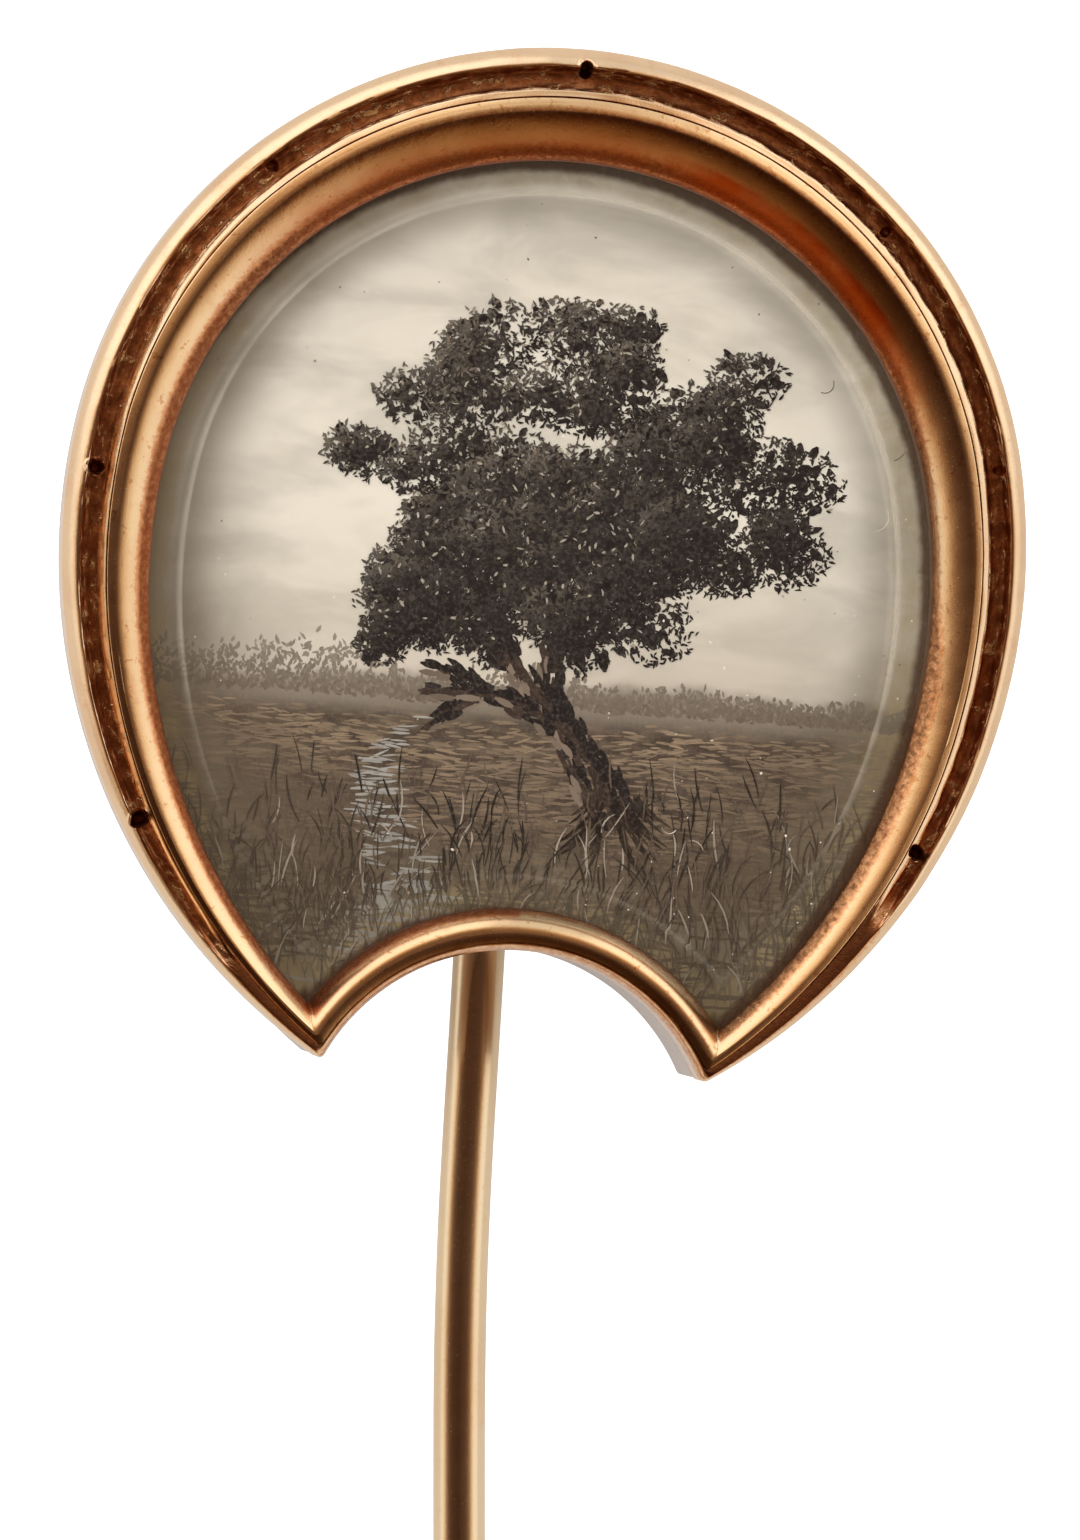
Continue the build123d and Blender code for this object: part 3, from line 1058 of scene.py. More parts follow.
def paint_grass(brush, rng):
    """Tall blades in front, mostly dark."""
    for _ in range(GRASS_BLADES):
        x = rng.uniform(-7.4, 7.4)
        y = rng.triangular(-9.5, -7.2, -4.4)
        if not inside_sight(x, y):
            continue
        bright = rng.random()
        paint = next(paint for part, paint in GRASS_PAINTS if bright < part)
        brush.stroke((x, y), radians(90) + rng.normal(0, 0.28), rng.uniform(0.35, 0.95),
                     rng.uniform(0.018, 0.045), paint * rng.uniform(0.8, 1.15),
                     0.034 + rng.uniform(0, 0.001), rng.normal(0, 0.55), 5)


def paint_landscape(brush, leaf_brush):
    """Paints a misty meadow with a large old tree, its boughs and leaves, and tall grass."""
    rng = np.random.default_rng(PAINT_SEED)
    paint_far_trees(brush, rng)
    paint_meadow(brush, rng)
    tips = []
    paint_bough(brush, rng, tips, TREE_FOOT, radians(97), 2.3, 1.05, 0)
    paint_roots(brush, rng)
    order = leaf_clusters(rng, tips)
    for number, cluster in enumerate(order):
        paint_cluster(leaf_brush, rng, cluster, 0.016 + 0.016 * number / len(order))
    paint_grass(brush, rng)


class PIN_OT_brushwork(bpy.types.Operator):
    """Paint the landscape on the plaque with thousands of raised strokes"""
    bl_idname = "pin.brushwork"
    bl_label = "Brushwork"

    def execute(self, context):
        head = context.scene.pin_head
        top = head.head_depth - head.crystal_drop - head.crystal_depth - head.seat_gap
        ground, leaves = Brush(), Brush()
        paint_landscape(ground, leaves)
        for name, brush in (("brushwork_ground", ground), ("brushwork_leaves", leaves)):
            mesh = bpy.data.meshes.new(name)
            places = np.array(brush.places) * MM
            places[:, 2] += top
            mesh.from_pydata(places.tolist(), [], brush.faces)
            paint = mesh.color_attributes.new("paint", "FLOAT_COLOR", "POINT")
            paint.data.foreach_set("color", np.array(brush.colours, dtype=np.float32).ravel())
            piece = bpy.data.objects.new(name, mesh)
            context.scene.collection.objects.link(piece)
            place_on_head(piece)
            finish_piece(piece, brush_paint(), ["miniature"])
        return {"FINISHED"}


# Stem and solder

STEM_SIDES = 48
STEM_STEP = 0.6 * MM


def extrude_along(direction, distance, steps):
    """Extrudes the selected ring in equal steps along a line."""
    move = direction * (distance / steps)
    for _ in range(steps):
        bpy.ops.mesh.extrude_region_move(TRANSFORM_OT_translate={"value": tuple(move)})


def selected_middle(piece):
    """Middle of the selected vertices."""
    mesh = bmesh.from_edit_mesh(piece.data)
    chosen = [v.co.copy() for v in mesh.verts if v.select]
    return sum(chosen, Vector()) / len(chosen)


class PIN_OT_pin_stem(bpy.types.Operator):
    """Model the round wire stem with its gentle bend and its point"""
    bl_idname = "pin.pin_stem"
    bl_label = "Pin stem"

    def execute(self, context):
        stem = context.scene.pin_stem
        root = stem_root()
        up = Vector((sin(stem.lean), cos(stem.lean), 0))
        start = root + up * stem.head_reach
        bpy.ops.object.select_all(action="DESELECT")
        bpy.ops.mesh.primitive_circle_add(
            vertices=STEM_SIDES, radius=stem.radius, location=start,
            rotation=(radians(90), 0, -stem.lean))
        piece = context.object
        piece.name = "pin_stem"
        piece.data.name = "pin_stem"
        bpy.ops.object.transform_apply(location=True, rotation=True, scale=True)
        bpy.ops.object.mode_set(mode="EDIT")
        bpy.ops.mesh.select_all(action="SELECT")
        straight = stem.head_reach + stem.bend_start
        extrude_along(-up, straight, round(straight / STEM_STEP))
        bend_radius = stem.bend_length / stem.lean
        aside = Vector((cos(stem.lean), -sin(stem.lean), 0))
        centre = root - up * stem.bend_start + aside * bend_radius
        if (centre.x - root.x) < 0:
            raise RuntimeError("the stem's bend has to turn towards the right")
        before = selected_middle(piece)
        bpy.ops.mesh.spin(steps=10, angle=-stem.lean, center=tuple(centre), axis=(0, 0, 1))
        after = selected_middle(piece)
        if abs(after.x - before.x) > 1.1 * stem.bend_length * sin(stem.lean):
            raise RuntimeError("the stem's bend went the wrong way")
        down = Vector((0, -1, 0))
        taper_start = root.y - (stem.reach - stem.taper)
        lower = after.y - taper_start
        extrude_along(down, lower, round(lower / STEM_STEP))
        radius = stem.radius
        taper_steps = 16
        for step in range(taper_steps):
            bpy.ops.mesh.extrude_region_move(
                TRANSFORM_OT_translate={"value": (0, -(stem.taper - 0.05 * MM) / taper_steps, 0)})
            part = (step + 1) / taper_steps
            smaller = stem.radius + (stem.point_radius - stem.radius) * part ** 1.08
            middle = selected_middle(piece)
            bpy.ops.transform.resize(value=(smaller / radius, 1, smaller / radius),
                                     center_override=tuple(middle))
            radius = smaller
        for shift, factor in ((0.028, 0.75), (0.022, 0.45)):
            bpy.ops.mesh.extrude_region_move(TRANSFORM_OT_translate={"value": (0, -shift * MM, 0)})
            middle = selected_middle(piece)
            bpy.ops.transform.resize(value=(factor, 1, factor), center_override=tuple(middle))
        bpy.ops.mesh.edge_face_add()
        select_where(lambda vert: (vert.co - start).dot(up) > -0.01 * MM)
        for shift, factor in ((0.13, 0.94), (0.1, 0.82), (0.05, 0.6)):
            bpy.ops.mesh.extrude_region_move(
                TRANSFORM_OT_translate={"value": tuple(up * shift * MM)})
            middle = selected_middle(piece)
            bpy.ops.transform.resize(value=(factor, factor, factor),
                                     center_override=tuple(middle))
        bpy.ops.mesh.edge_face_add()
        turn_faces_out()
        places = read_vertices(piece)
        normals = np.array([v.normal for v in piece.data.vertices])
        for i, place in enumerate(places):
            here = Vector(place) / MM
            thick = noise.noise(Vector((0.3, here.y * 0.22, 0.7)))
            dent = noise.noise(Vector((here.x * 1.4, here.y * 0.5, here.z * 1.4)))
            places[i] += normals[i] * MM * (0.006 * thick + 0.004 * dent)
        write_vertices(piece, places)
        finish_piece(piece, yellow_gold_stem(), ["case_and_stem"])
        return {"FINISHED"}


class PIN_OT_solder_bed(bpy.types.Operator):
    """Model the solder that flows between the back plate and the stem"""
    bl_idname = "pin.solder_bed"
    bl_label = "Solder bed"

    def execute(self, context):
        stem = context.scene.pin_stem
        bottom_end = -7.07 * MM
        top_end = stem.head_reach
        half = 0.78 * MM
        bpy.ops.object.select_all(action="DESELECT")
        bpy.ops.mesh.primitive_circle_add(vertices=48, radius=half,
                                          location=(-stem.side, top_end - half, 0.02 * MM))
        piece = context.object
        piece.name = "solder_bed"
        piece.data.name = "solder_bed"
        bpy.ops.object.transform_apply(location=True)
        bpy.ops.object.mode_set(mode="EDIT")
        select_where(lambda vert: vert.co.y < top_end - half - 1e-8)
        length_ = (top_end - half) - (bottom_end + half)
        bpy.ops.transform.translate(value=(0, -length_, 0))
        bpy.ops.mesh.select_all(action="DESELECT")
        bpy.ops.mesh.select_mode(type="EDGE")
        mesh = bmesh.from_edit_mesh(piece.data)
        for edge in mesh.edges:
            if edge.calc_length() > 2 * MM:
                edge.select = True
        bmesh.update_edit_mesh(piece.data)
        bpy.ops.mesh.subdivide(number_cuts=40)
        bpy.ops.mesh.select_mode(type="VERT")
        bpy.ops.mesh.select_all(action="SELECT")
        middle = (-stem.side, (top_end + bottom_end) / 2, 0.0)
        width = half
        full = (top_end - bottom_end) / 2
        for drop, new_width in ((0.05, 0.735), (0.06, 0.665), (0.07, 0.60), (0.09, 0.545),
                                (0.12, 0.505), (0.12, 0.46)):
            bpy.ops.mesh.extrude_region_move(TRANSFORM_OT_translate={"value": (0, 0, -drop * MM)})
            long_now = full - (half - width)
            long_new = full - (half - new_width * MM)
            bpy.ops.transform.resize(value=(new_width * MM / width, long_new / long_now, 1),
                                     center_override=middle)
            width = new_width * MM
        bpy.ops.mesh.edge_face_add()
        select_where(lambda vert: vert.co.z > 0.01 * MM)
        bpy.ops.mesh.edge_face_add()
        turn_faces_out()
        places = read_vertices(piece)
        for i, place in enumerate(places):
            here = Vector(place) / MM
            ooze = noise.noise(Vector((here.x * 0.8, here.y * 0.9, 2.1)))
            level = smooth(-0.35, 0.0, here.z)
            away = -1 if here.x < -stem.side / MM else 1
            places[i, 0] += away * MM * 0.10 * ooze * level
            places[i, 1] += MM * 0.06 * noise.noise(here * 1.7) * level
        write_vertices(piece, places)
        place_on_head(piece)
        finish_piece(piece, solder_metal(), ["case_and_stem"],
                     crease=radians(60))
        return {"FINISHED"}


# Dust under and on the crystal

DUST_SEED = 52
FIBRES = (
    (5.35, 3.55, 115, 0.42, 2.4), (6.85, 2.35, 70, 0.34, 0.8), (6.55, 1.15, 120, 0.55, 2.0),
    (-3.4, 4.6, 20, 0.30, 3.0), (2.9, -5.2, 60, 0.35, 2.4),
)


class PIN_OT_dust_and_fibres(bpy.types.Operator):
    """Scatter the fine dust and the few hairs that lie on the crystal"""
    bl_idname = "pin.dust_and_fibres"
    bl_label = "Dust and fibres"

    def execute(self, context):
        head = context.scene.pin_head
        rng = np.random.default_rng(DUST_SEED)
        face = head.head_depth - head.crystal_drop
        bpy.ops.object.select_all(action="DESELECT")
        bpy.ops.mesh.primitive_ico_sphere_add(subdivisions=1, radius=0.025 * MM,
                                              location=(0, 0, 0))
        grain = context.object
        bpy.ops.object.mode_set(mode="EDIT")
        bpy.ops.mesh.select_all(action="SELECT")
        bpy.ops.transform.resize(value=(1.0, 0.8, 0.45))
        bpy.ops.object.mode_set(mode="OBJECT")
        grains = [grain]
        while len(grains) < 210:
            x, y = rng.uniform(-7.2, 7.2), rng.uniform(-8.4, 7.2)
            if rng.random() < 0.3:
                x, y = rng.uniform(1.0, 7.2), rng.uniform(-7.5, 0.0)
            if not inside_sight(x, y, 0.2):
                continue
            copy = grain.copy()
            copy.data = grain.data.copy()
            context.scene.collection.objects.link(copy)
            size = rng.uniform(0.4, 1.0) if rng.random() < 0.85 else rng.uniform(1.0, 1.7)
            copy.scale = (size, size * rng.uniform(0.6, 1.0), size)
            copy.rotation_euler = (0, 0, rng.uniform(0, 2 * pi))
            copy.location = (x * MM, y * MM, face + 0.006 * MM)
            grains.append(copy)
        grain.location = (0.62 * MM, 5.95 * MM, face + 0.006 * MM)
        hairs = []
        for x, y, way, span, curl in FIBRES:
            bpy.ops.object.select_all(action="DESELECT")
            bpy.ops.mesh.primitive_circle_add(
                vertices=6, radius=0.009 * MM, location=(x * MM, y * MM, face + 0.010 * MM),
                rotation=(0, radians(90), radians(way)))
            hair = context.object
            bpy.ops.object.transform_apply(location=True, rotation=True)
            bpy.ops.object.mode_set(mode="EDIT")
            bpy.ops.mesh.select_all(action="SELECT")
            radius = span / curl
            centre = (x - radius * sin(radians(way)), y + radius * cos(radians(way)))
            bpy.ops.mesh.spin(steps=14, angle=curl,
                              center=(centre[0] * MM, centre[1] * MM, face), axis=(0, 0, 1))
            bpy.ops.mesh.edge_face_add()
            bpy.ops.object.mode_set(mode="OBJECT")
            hairs.append(hair)
        bpy.ops.object.select_all(action="DESELECT")
        for obj in grains + hairs:
            obj.select_set(True)
        context.view_layer.objects.active = hairs[0]
        bpy.ops.object.join()
        piece = context.object
        piece.name = "dust_and_fibres"
        piece.data.name = "dust_and_fibres"
        turn_faces_out()
        place_on_head(piece)
        finish_piece(piece, dust(), ["crystal"])
        return {"FINISHED"}


# Finishes

class Tree:
    """Adds nodes to a node tree, with inputs given as values or as other nodes' outputs."""

    def __init__(self, tree):
        self.tree = tree

    def add(self, kind, inputs=None, **settings):
        """One node with its settings and its inputs by name or number."""
        made = self.tree.nodes.new("ShaderNode" + kind)
        for key, value in settings.items():
            setattr(made, key, value)
        for key, value in (inputs or {}).items():
            socket = made.inputs[key]
            if isinstance(value, bpy.types.NodeSocket):
                self.tree.links.new(value, socket)
            elif isinstance(value, bpy.types.Node):
                self.tree.links.new(value.outputs[0], socket)
            elif hasattr(value, "__len__") and len(value) == 3 and socket.type == "RGBA":
                socket.default_value = (*value, 1.0)
            else:
                socket.default_value = value
        return made

    def math(self, operation, first, second=0.0, clamp=False):
        """One math node."""
        return self.add("Math", {0: first, 1: second}, operation=operation,
                        use_clamp=clamp).outputs[0]

    def plus(self, first, second, clamp=False):
        """Two values added."""
        return self.math("ADD", first, second, clamp=clamp)

    def minus(self, first, second):
        """The second value taken from the first."""
        return self.math("SUBTRACT", first, second)

    def rest(self, value):
        """What is left of one."""
        return self.math("SUBTRACT", 1.0, value)

    def times(self, first, second, clamp=False):
        """Two values multiplied."""
        return self.math("MULTIPLY", first, second, clamp=clamp)

    def link(self, value, socket):
        """Feeds a socket."""
        self.tree.links.new(value, socket)

    def mix(self, factor, first, second, blend="MIX"):
        """Mixes two colours."""
        made = self.add("Mix", data_type="RGBA", blend_type=blend)
        for key, value in ((0, factor), (6, first), (7, second)):
            socket = made.inputs[key]
            if isinstance(value, bpy.types.NodeSocket):
                self.tree.links.new(value, socket)
            elif key:
                socket.default_value = (*value, 1.0) if len(value) == 3 else value
            else:
                socket.default_value = value
        return made.outputs[2]

    def ramp(self, value, low, high):
        """A smooth mask from 0 at low to 1 at high."""
        return self.add("MapRange", {"Value": value, "From Min": low, "From Max": high},
                        interpolation_type="SMOOTHSTEP", clamp=True).outputs[0]

    def noise(self, vector, scale, detail=3.0, rough=0.55, distortion=0.0):
        """Noise as a value round one half."""
        return self.add("TexNoise", {"Vector": vector, "Scale": scale, "Detail": detail,
                                     "Roughness": rough, "Distortion": distortion}).outputs[0]


def new_group(name, sockets):
    """A shader node group with named inputs and outputs."""
    group = bpy.data.node_groups.new(name, "ShaderNodeTree")
    for way, label, kind, default in sockets:
        socket = group.interface.new_socket(name=label, in_out=way, socket_type=kind)
        if default is not None:
            socket.default_value = default
    ends = group.nodes.new("NodeGroupInput"), group.nodes.new("NodeGroupOutput")
    return group, Tree(group), ends


def worn_gold_group():
    """Colour, roughness and fine height of old gold, from its place and a mask of patina in recesses
    and painted shade.
    """
    name = "worn_gold"
    if name in bpy.data.node_groups:
        return bpy.data.node_groups[name]
    group, tree, (start, end) = new_group(name, (
        ("INPUT", "Place", "NodeSocketVector", None),
        ("INPUT", "Clean", "NodeSocketColor", (0.9, 0.6, 0.4, 1)),
        ("INPUT", "Copper", "NodeSocketColor", (0.6, 0.2, 0.1, 1)),
        ("INPUT", "Brown", "NodeSocketColor", (0.1, 0.03, 0.01, 1)),
        ("INPUT", "Grime_and_shade", "NodeSocketFloat", 0.0),
        ("INPUT", "Polish", "NodeSocketFloat", 0.16),
        ("OUTPUT", "Color", "NodeSocketColor", None),
        ("OUTPUT", "Roughness", "NodeSocketFloat", None),
        ("OUTPUT", "Height", "NodeSocketFloat", None)))
    place, grime_and_shade = start.outputs["Place"], start.outputs["Grime_and_shade"]
    cloud = tree.noise(place, 0.55, 4.0)
    blotch = tree.noise(place, 2.3, 5.0, 0.6)
    fleck = tree.noise(place, 9.0, 4.0, 0.65)
    dust_ = tree.noise(place, 26.0, 2.0, 0.6)
    warm = tree.ramp(cloud, 0.42, 0.75)
    clean = tree.mix(tree.times(warm, 0.20), start.outputs["Clean"],
                     start.outputs["Copper"])
    stain = tree.times(tree.ramp(blotch, 0.60, 0.74), 0.22)
    clean = tree.mix(stain, clean, start.outputs["Copper"])
    edge = tree.plus(grime_and_shade, tree.times(tree.minus(fleck, 0.5), 0.95))
    # Where the mask is high the gold turns copper, then dark brown: patina in the case's recesses,
    # and painted shade on the bezel's slope by the crystal.
    ring = tree.times(tree.ramp(edge, 0.06, 0.42), 0.75)
    patina_and_shade = tree.ramp(edge, 0.38, 0.86)
    toned = tree.mix(ring, clean, start.outputs["Copper"])
    toned = tree.mix(patina_and_shade, toned, start.outputs["Brown"])
    spark = tree.times(tree.ramp(dust_, 0.62, 0.72), tree.ramp(grime_and_shade, 0.3, 0.6))
    toned = tree.mix(tree.times(spark, 0.55), toned, start.outputs["Clean"])
    rough = tree.plus(start.outputs["Polish"],
                      tree.times(tree.minus(blotch, 0.5), 0.10))
    rough = tree.plus(rough, tree.times(patina_and_shade, 0.22))
    rough = tree.plus(rough, tree.times(tree.ramp(dust_, 0.6, 0.8), 0.10),
                      clamp=True)
    scratch_place = tree.add("VectorMath", {0: place, 1: (5.0, 1.4, 5.0)}, operation="MULTIPLY")
    scratch = tree.noise(scratch_place.outputs[0], 6.0, 4.0, 0.7)
    height = tree.plus(tree.times(scratch, 0.25),
                       tree.times(fleck, tree.plus(0.25, grime_and_shade)))
    height = tree.plus(height, tree.times(dust_, tree.plus(0.05, tree.times(grime_and_shade, 0.6))))
    for label, value in (("Color", toned), ("Roughness", rough), ("Height", height)):
        group.links.new(value, end.inputs[label])
    return group


def new_material(name):
    """An empty node material with its output and a Principled shader."""
    material = bpy.data.materials.new(name)
    material.use_nodes = True
    material.node_tree.nodes.clear()
    tree = Tree(material.node_tree)
    shader = tree.add("BsdfPrincipled")
    out = tree.add("OutputMaterial")
    material.node_tree.links.new(shader.outputs[0], out.inputs["Surface"])
    return material, tree, shader, out


def head_place(tree):
    """Place on the untipped head, in millimetres."""
    matrix = head_matrix()
    coordinates = tree.add("TexCoord")
    return tree.add("Mapping", {
        "Vector": coordinates.outputs["Object"], "Location": tuple(matrix.translation),
        "Rotation": tuple(matrix.to_euler()), "Scale": (MM, MM, MM)},
        vector_type="TEXTURE").outputs[0]


def plain_place(tree):
    """Place in the pin's frame, in millimetres."""
    coordinates = tree.add("TexCoord")
    return tree.add("Mapping", {"Vector": coordinates.outputs["Object"], "Scale": (MM, MM, MM)},
                    vector_type="TEXTURE").outputs[0]


def gold_finish(name, place_of, clean, copper, brown, grime_and_shade, polish, bump):
    """A worn gold material; returns its tree and shader for further touches."""
    material, tree, shader, _out = new_material(name)
    place = place_of(tree)
    # The mask holds patina in recesses and, on the bezel, painted shade by the crystal.
    grime_and_shade_value = tree.add("Attribute", attribute_name="grime_and_shade").outputs["Fac"] if grime_and_shade else 0.0
    group = tree.add("Group", node_tree=worn_gold_group())
    links = material.node_tree.links
    links.new(place, group.inputs["Place"])
    if grime_and_shade:
        links.new(grime_and_shade_value, group.inputs["Grime_and_shade"])
    group.inputs["Clean"].default_value = (*clean, 1)
    group.inputs["Copper"].default_value = (*copper, 1)
    group.inputs["Brown"].default_value = (*brown, 1)
    group.inputs["Polish"].default_value = polish
    shader.inputs["Metallic"].default_value = 1.0
    links.new(group.outputs["Color"], shader.inputs["Base Color"])
    links.new(group.outputs["Roughness"], shader.inputs["Roughness"])
    relief = tree.add("Bump", {"Strength": 0.35, "Distance": bump * MM,
                               "Height": group.outputs["Height"]})
    links.new(relief.outputs[0], shader.inputs["Normal"])
    return material, tree, shader, group, place


# Colours of stains and wear, of the glints and shade in the groove, and of the painted shade and
# painted shadows on the painting, in linear light
GROOVE_RED = (0.42, 0.13, 0.040)
GROOVE_GLINT = (1.0, 0.72, 0.38)
GROOVE_SHADE = (0.16, 0.045, 0.015)
WALL_GOLD = (0.80, 0.53, 0.33)
WALL_STAIN = (0.36, 0.22, 0.14)
BEZEL_STAIN = (0.66, 0.135, 0.026)
BEZEL_FLECK = (0.55, 0.19, 0.045)
# Painted shade under the crystal's bevel, a painted shadow just inside the bevel's line, and the
# painted shadow of the bezel with soiling along it
RIM_SHADE_BROWN = (0.30, 0.235, 0.125)
BORDER_SHADE = (0.21, 0.175, 0.12)
BEZEL_SHADOW_AND_DIRT = (0.055, 0.025, 0.012)


def rose_gold_case():
    """Rose gold, dark in the groove, with the box wall painted whitish as a painted reflection of the
    bright floor.
    """
    finish = bpy.context.scene.pin_finish
    material, tree, shader, group, place = gold_finish(
        "rose_gold_case", head_place, finish.rose_gold, finish.copper_red, finish.patina_and_shade_brown,
        True, 0.17, 0.02)
    links = material.node_tree.links
    groove = tree.add("Attribute", attribute_name="groove").outputs["Fac"]
    parts = tree.add("SeparateXYZ", {0: place})
    round_ = tree.math("ARCTAN2", parts.outputs["X"], parts.outputs["Y"])
    reach = tree.add("VectorMath", {0: place}, operation="LENGTH").outputs["Value"]
    along = tree.add("CombineXYZ", {0: tree.times(round_, 9.0),
                                    1: tree.times(reach, 2.3)}).outputs[0]
    pit = tree.noise(along, 2.6, 5.0, 0.68, 0.3)
    speck = tree.ramp(pit, 0.55, 0.62)
    glint = tree.times(groove, speck)
    shade = tree.times(groove, tree.rest(tree.ramp(pit, 0.38, 0.54)))
    colour_ = tree.mix(tree.times(groove, 0.55), group.outputs["Color"], GROOVE_RED)
    colour_ = tree.mix(tree.times(glint, 0.92), colour_, GROOVE_GLINT)
    colour_ = tree.mix(tree.times(shade, 0.5), colour_, GROOVE_SHADE)
    height = parts.outputs["Z"]
    # Painted reflection: the box wall is painted pale, most round the heel arc, where the gold
    # mirrors the bright floor; mottled and stained at random.
    wall = tree.rest(tree.ramp(height, 2.2, 3.0))
    mottle = tree.noise(place, 0.9, 5.0, 0.62, 0.5)
    from_heel = tree.minus(parts.outputs["Y"], HEEL_CENTRE / MM)
    heel = tree.add("CombineXYZ", {0: parts.outputs["X"], 1: from_heel})
    away = tree.add("VectorMath", {0: heel.outputs[0]}, operation="LENGTH").outputs["Value"]
    inside = tree.rest(tree.ramp(away, 4.1, 4.7))
    mottled_wall_reflection = tree.math("MAXIMUM", tree.times(inside, 0.92),
                      tree.times(tree.ramp(mottle, 0.42, 0.72), 0.50))
    pale = tree.mix(mottled_wall_reflection, WALL_GOLD, finish.pale_wall_reflection)
    stain = tree.ramp(tree.noise(place, 3.6, 5.0, 0.7, 0.4), 0.56, 0.74)
    pale = tree.mix(tree.times(stain, 0.55), pale, WALL_STAIN)
    links.new(tree.mix(wall, colour_, pale), shader.inputs["Base Color"])
    dulled = tree.times(tree.minus(groove, glint), 0.16)
    rough = tree.plus(group.outputs["Roughness"], dulled)
    dull = tree.plus(0.26, tree.times(mottled_wall_reflection, 0.20))
    rough = tree.add("Mix", {0: wall, 2: rough, 3: dull}, data_type="FLOAT")
    links.new(rough.outputs[0], shader.inputs["Roughness"])
    deep = tree.times(groove, tree.plus(tree.times(pit, 0.35), speck))
    pitted = tree.add("Bump", {"Strength": 0.7, "Distance": 0.046 * MM, "Height": deep,
                               "Normal": shader.inputs["Normal"].links[0].from_socket})
    links.new(pitted.outputs[0], shader.inputs["Normal"])
    return material


def rose_gold_bezel():
    """Softly polished rose gold with reddish stains by the crystal."""
    finish = bpy.context.scene.pin_finish
    material, tree, shader, group, place = gold_finish(
        "rose_gold_bezel", head_place, finish.bezel_gold, finish.copper_red, finish.patina_and_shade_brown,
        True, 0.20, 0.015)
    copper = tree.add("Attribute", attribute_name="copper").outputs["Fac"]
    uneven = tree.noise(place, 1.1, 4.0, 0.6)
    mask = tree.times(copper, tree.plus(0.42, uneven), clamp=True)
    stained = tree.mix(mask, group.outputs["Color"], BEZEL_STAIN)
    fleck = tree.ramp(tree.noise(place, 5.0, 4.0, 0.65), 0.60, 0.68)
    stained = tree.mix(tree.times(fleck, 0.55), stained, BEZEL_FLECK)
    tree.link(stained, shader.inputs["Base Color"])
    return material


def yellow_gold_stem():
    """Lightly worn yellow gold wire."""
    finish = bpy.context.scene.pin_finish
    material, _tree, _shader, _group, _place = gold_finish(
        "yellow_gold_stem", plain_place, finish.yellow_gold, (0.74, 0.42, 0.19), (0.16, 0.06, 0.02),
        False, 0.20, 0.012)
    return material


def solder_metal():
    """Duller, paler solder."""
    material, _tree, _shader, _group, _place = gold_finish(
        "solder_metal", head_place, (0.72, 0.58, 0.42), (0.45, 0.28, 0.16), (0.10, 0.06, 0.04),
        False, 0.34, 0.03)
    return material


def clear_crystal():
    """Clear crystal that lets light and shadow through to the painting."""
    material, tree, shader, out = new_material("clear_crystal")
    shader.inputs["Base Color"].default_value = (0.985, 0.985, 0.97, 1)
    shader.inputs["Transmission Weight"].default_value = 1.0
    shader.inputs["IOR"].default_value = 1.5
    place = head_place(tree)
    smear = tree.noise(place, 0.8, 4.0, 0.6)
    haze = tree.times(tree.ramp(smear, 0.5, 0.75), 0.012)
    tree.link(haze, shader.inputs["Roughness"])
    relief = tree.add("Bump", {"Strength": 0.15, "Distance": 0.004 * MM,
                               "Height": tree.noise(place, 1.1, 3.0)})
    tree.link(relief.outputs[0], shader.inputs["Normal"])
    path = tree.add("LightPath")
    veil = tree.add("BsdfTransparent", {"Color": (0.97, 0.97, 0.95)})
    through = tree.math("MAXIMUM", path.outputs["Is Shadow Ray"], path.outputs["Is Diffuse Ray"])
    both = tree.add("MixShader")
    tree.link(through, both.inputs[0])
    tree.link(shader.outputs[0], both.inputs[1])
    tree.link(veil.outputs[0], both.inputs[2])
    tree.link(both.outputs[0], out.inputs["Surface"])
    return material


def bevel_line():
    """A soft pale painted highlight where the bevel's edge catches the light, strong on the right and
    the toe.
    """
    material, tree, shader, _out = new_material("bevel_line")
    place = head_place(tree)
    parts = tree.add("SeparateXYZ", {0: place})
    shader.inputs["Base Color"].default_value = (0.62, 0.58, 0.48, 1)
    shader.inputs["Roughness"].default_value = 0.5
    glow = tree.add("Attribute", attribute_name="glow").outputs["Fac"]
    broken = tree.ramp(tree.noise(place, 0.9, 4.0, 0.6), 0.30, 0.70)
    heel = tree.ramp(parts.outputs["Y"], -5.5, -2.0)
    right = tree.ramp(parts.outputs["X"], -3.0, 3.5)
    side = tree.plus(0.35, tree.times(right, 0.65))
    cover = tree.times(tree.times(glow, side), tree.plus(0.22, tree.times(broken, 0.42)))
    cover = tree.times(cover, tree.plus(0.12, tree.times(heel, 0.88)))
    tree.link(cover, shader.inputs["Alpha"])
    relief = tree.add("Bump", {"Strength": 0.2, "Distance": 0.002 * MM,
                               "Height": tree.noise(place, 9.0, 2.0)})
    tree.link(relief.outputs[0], shader.inputs["Normal"])
    return material


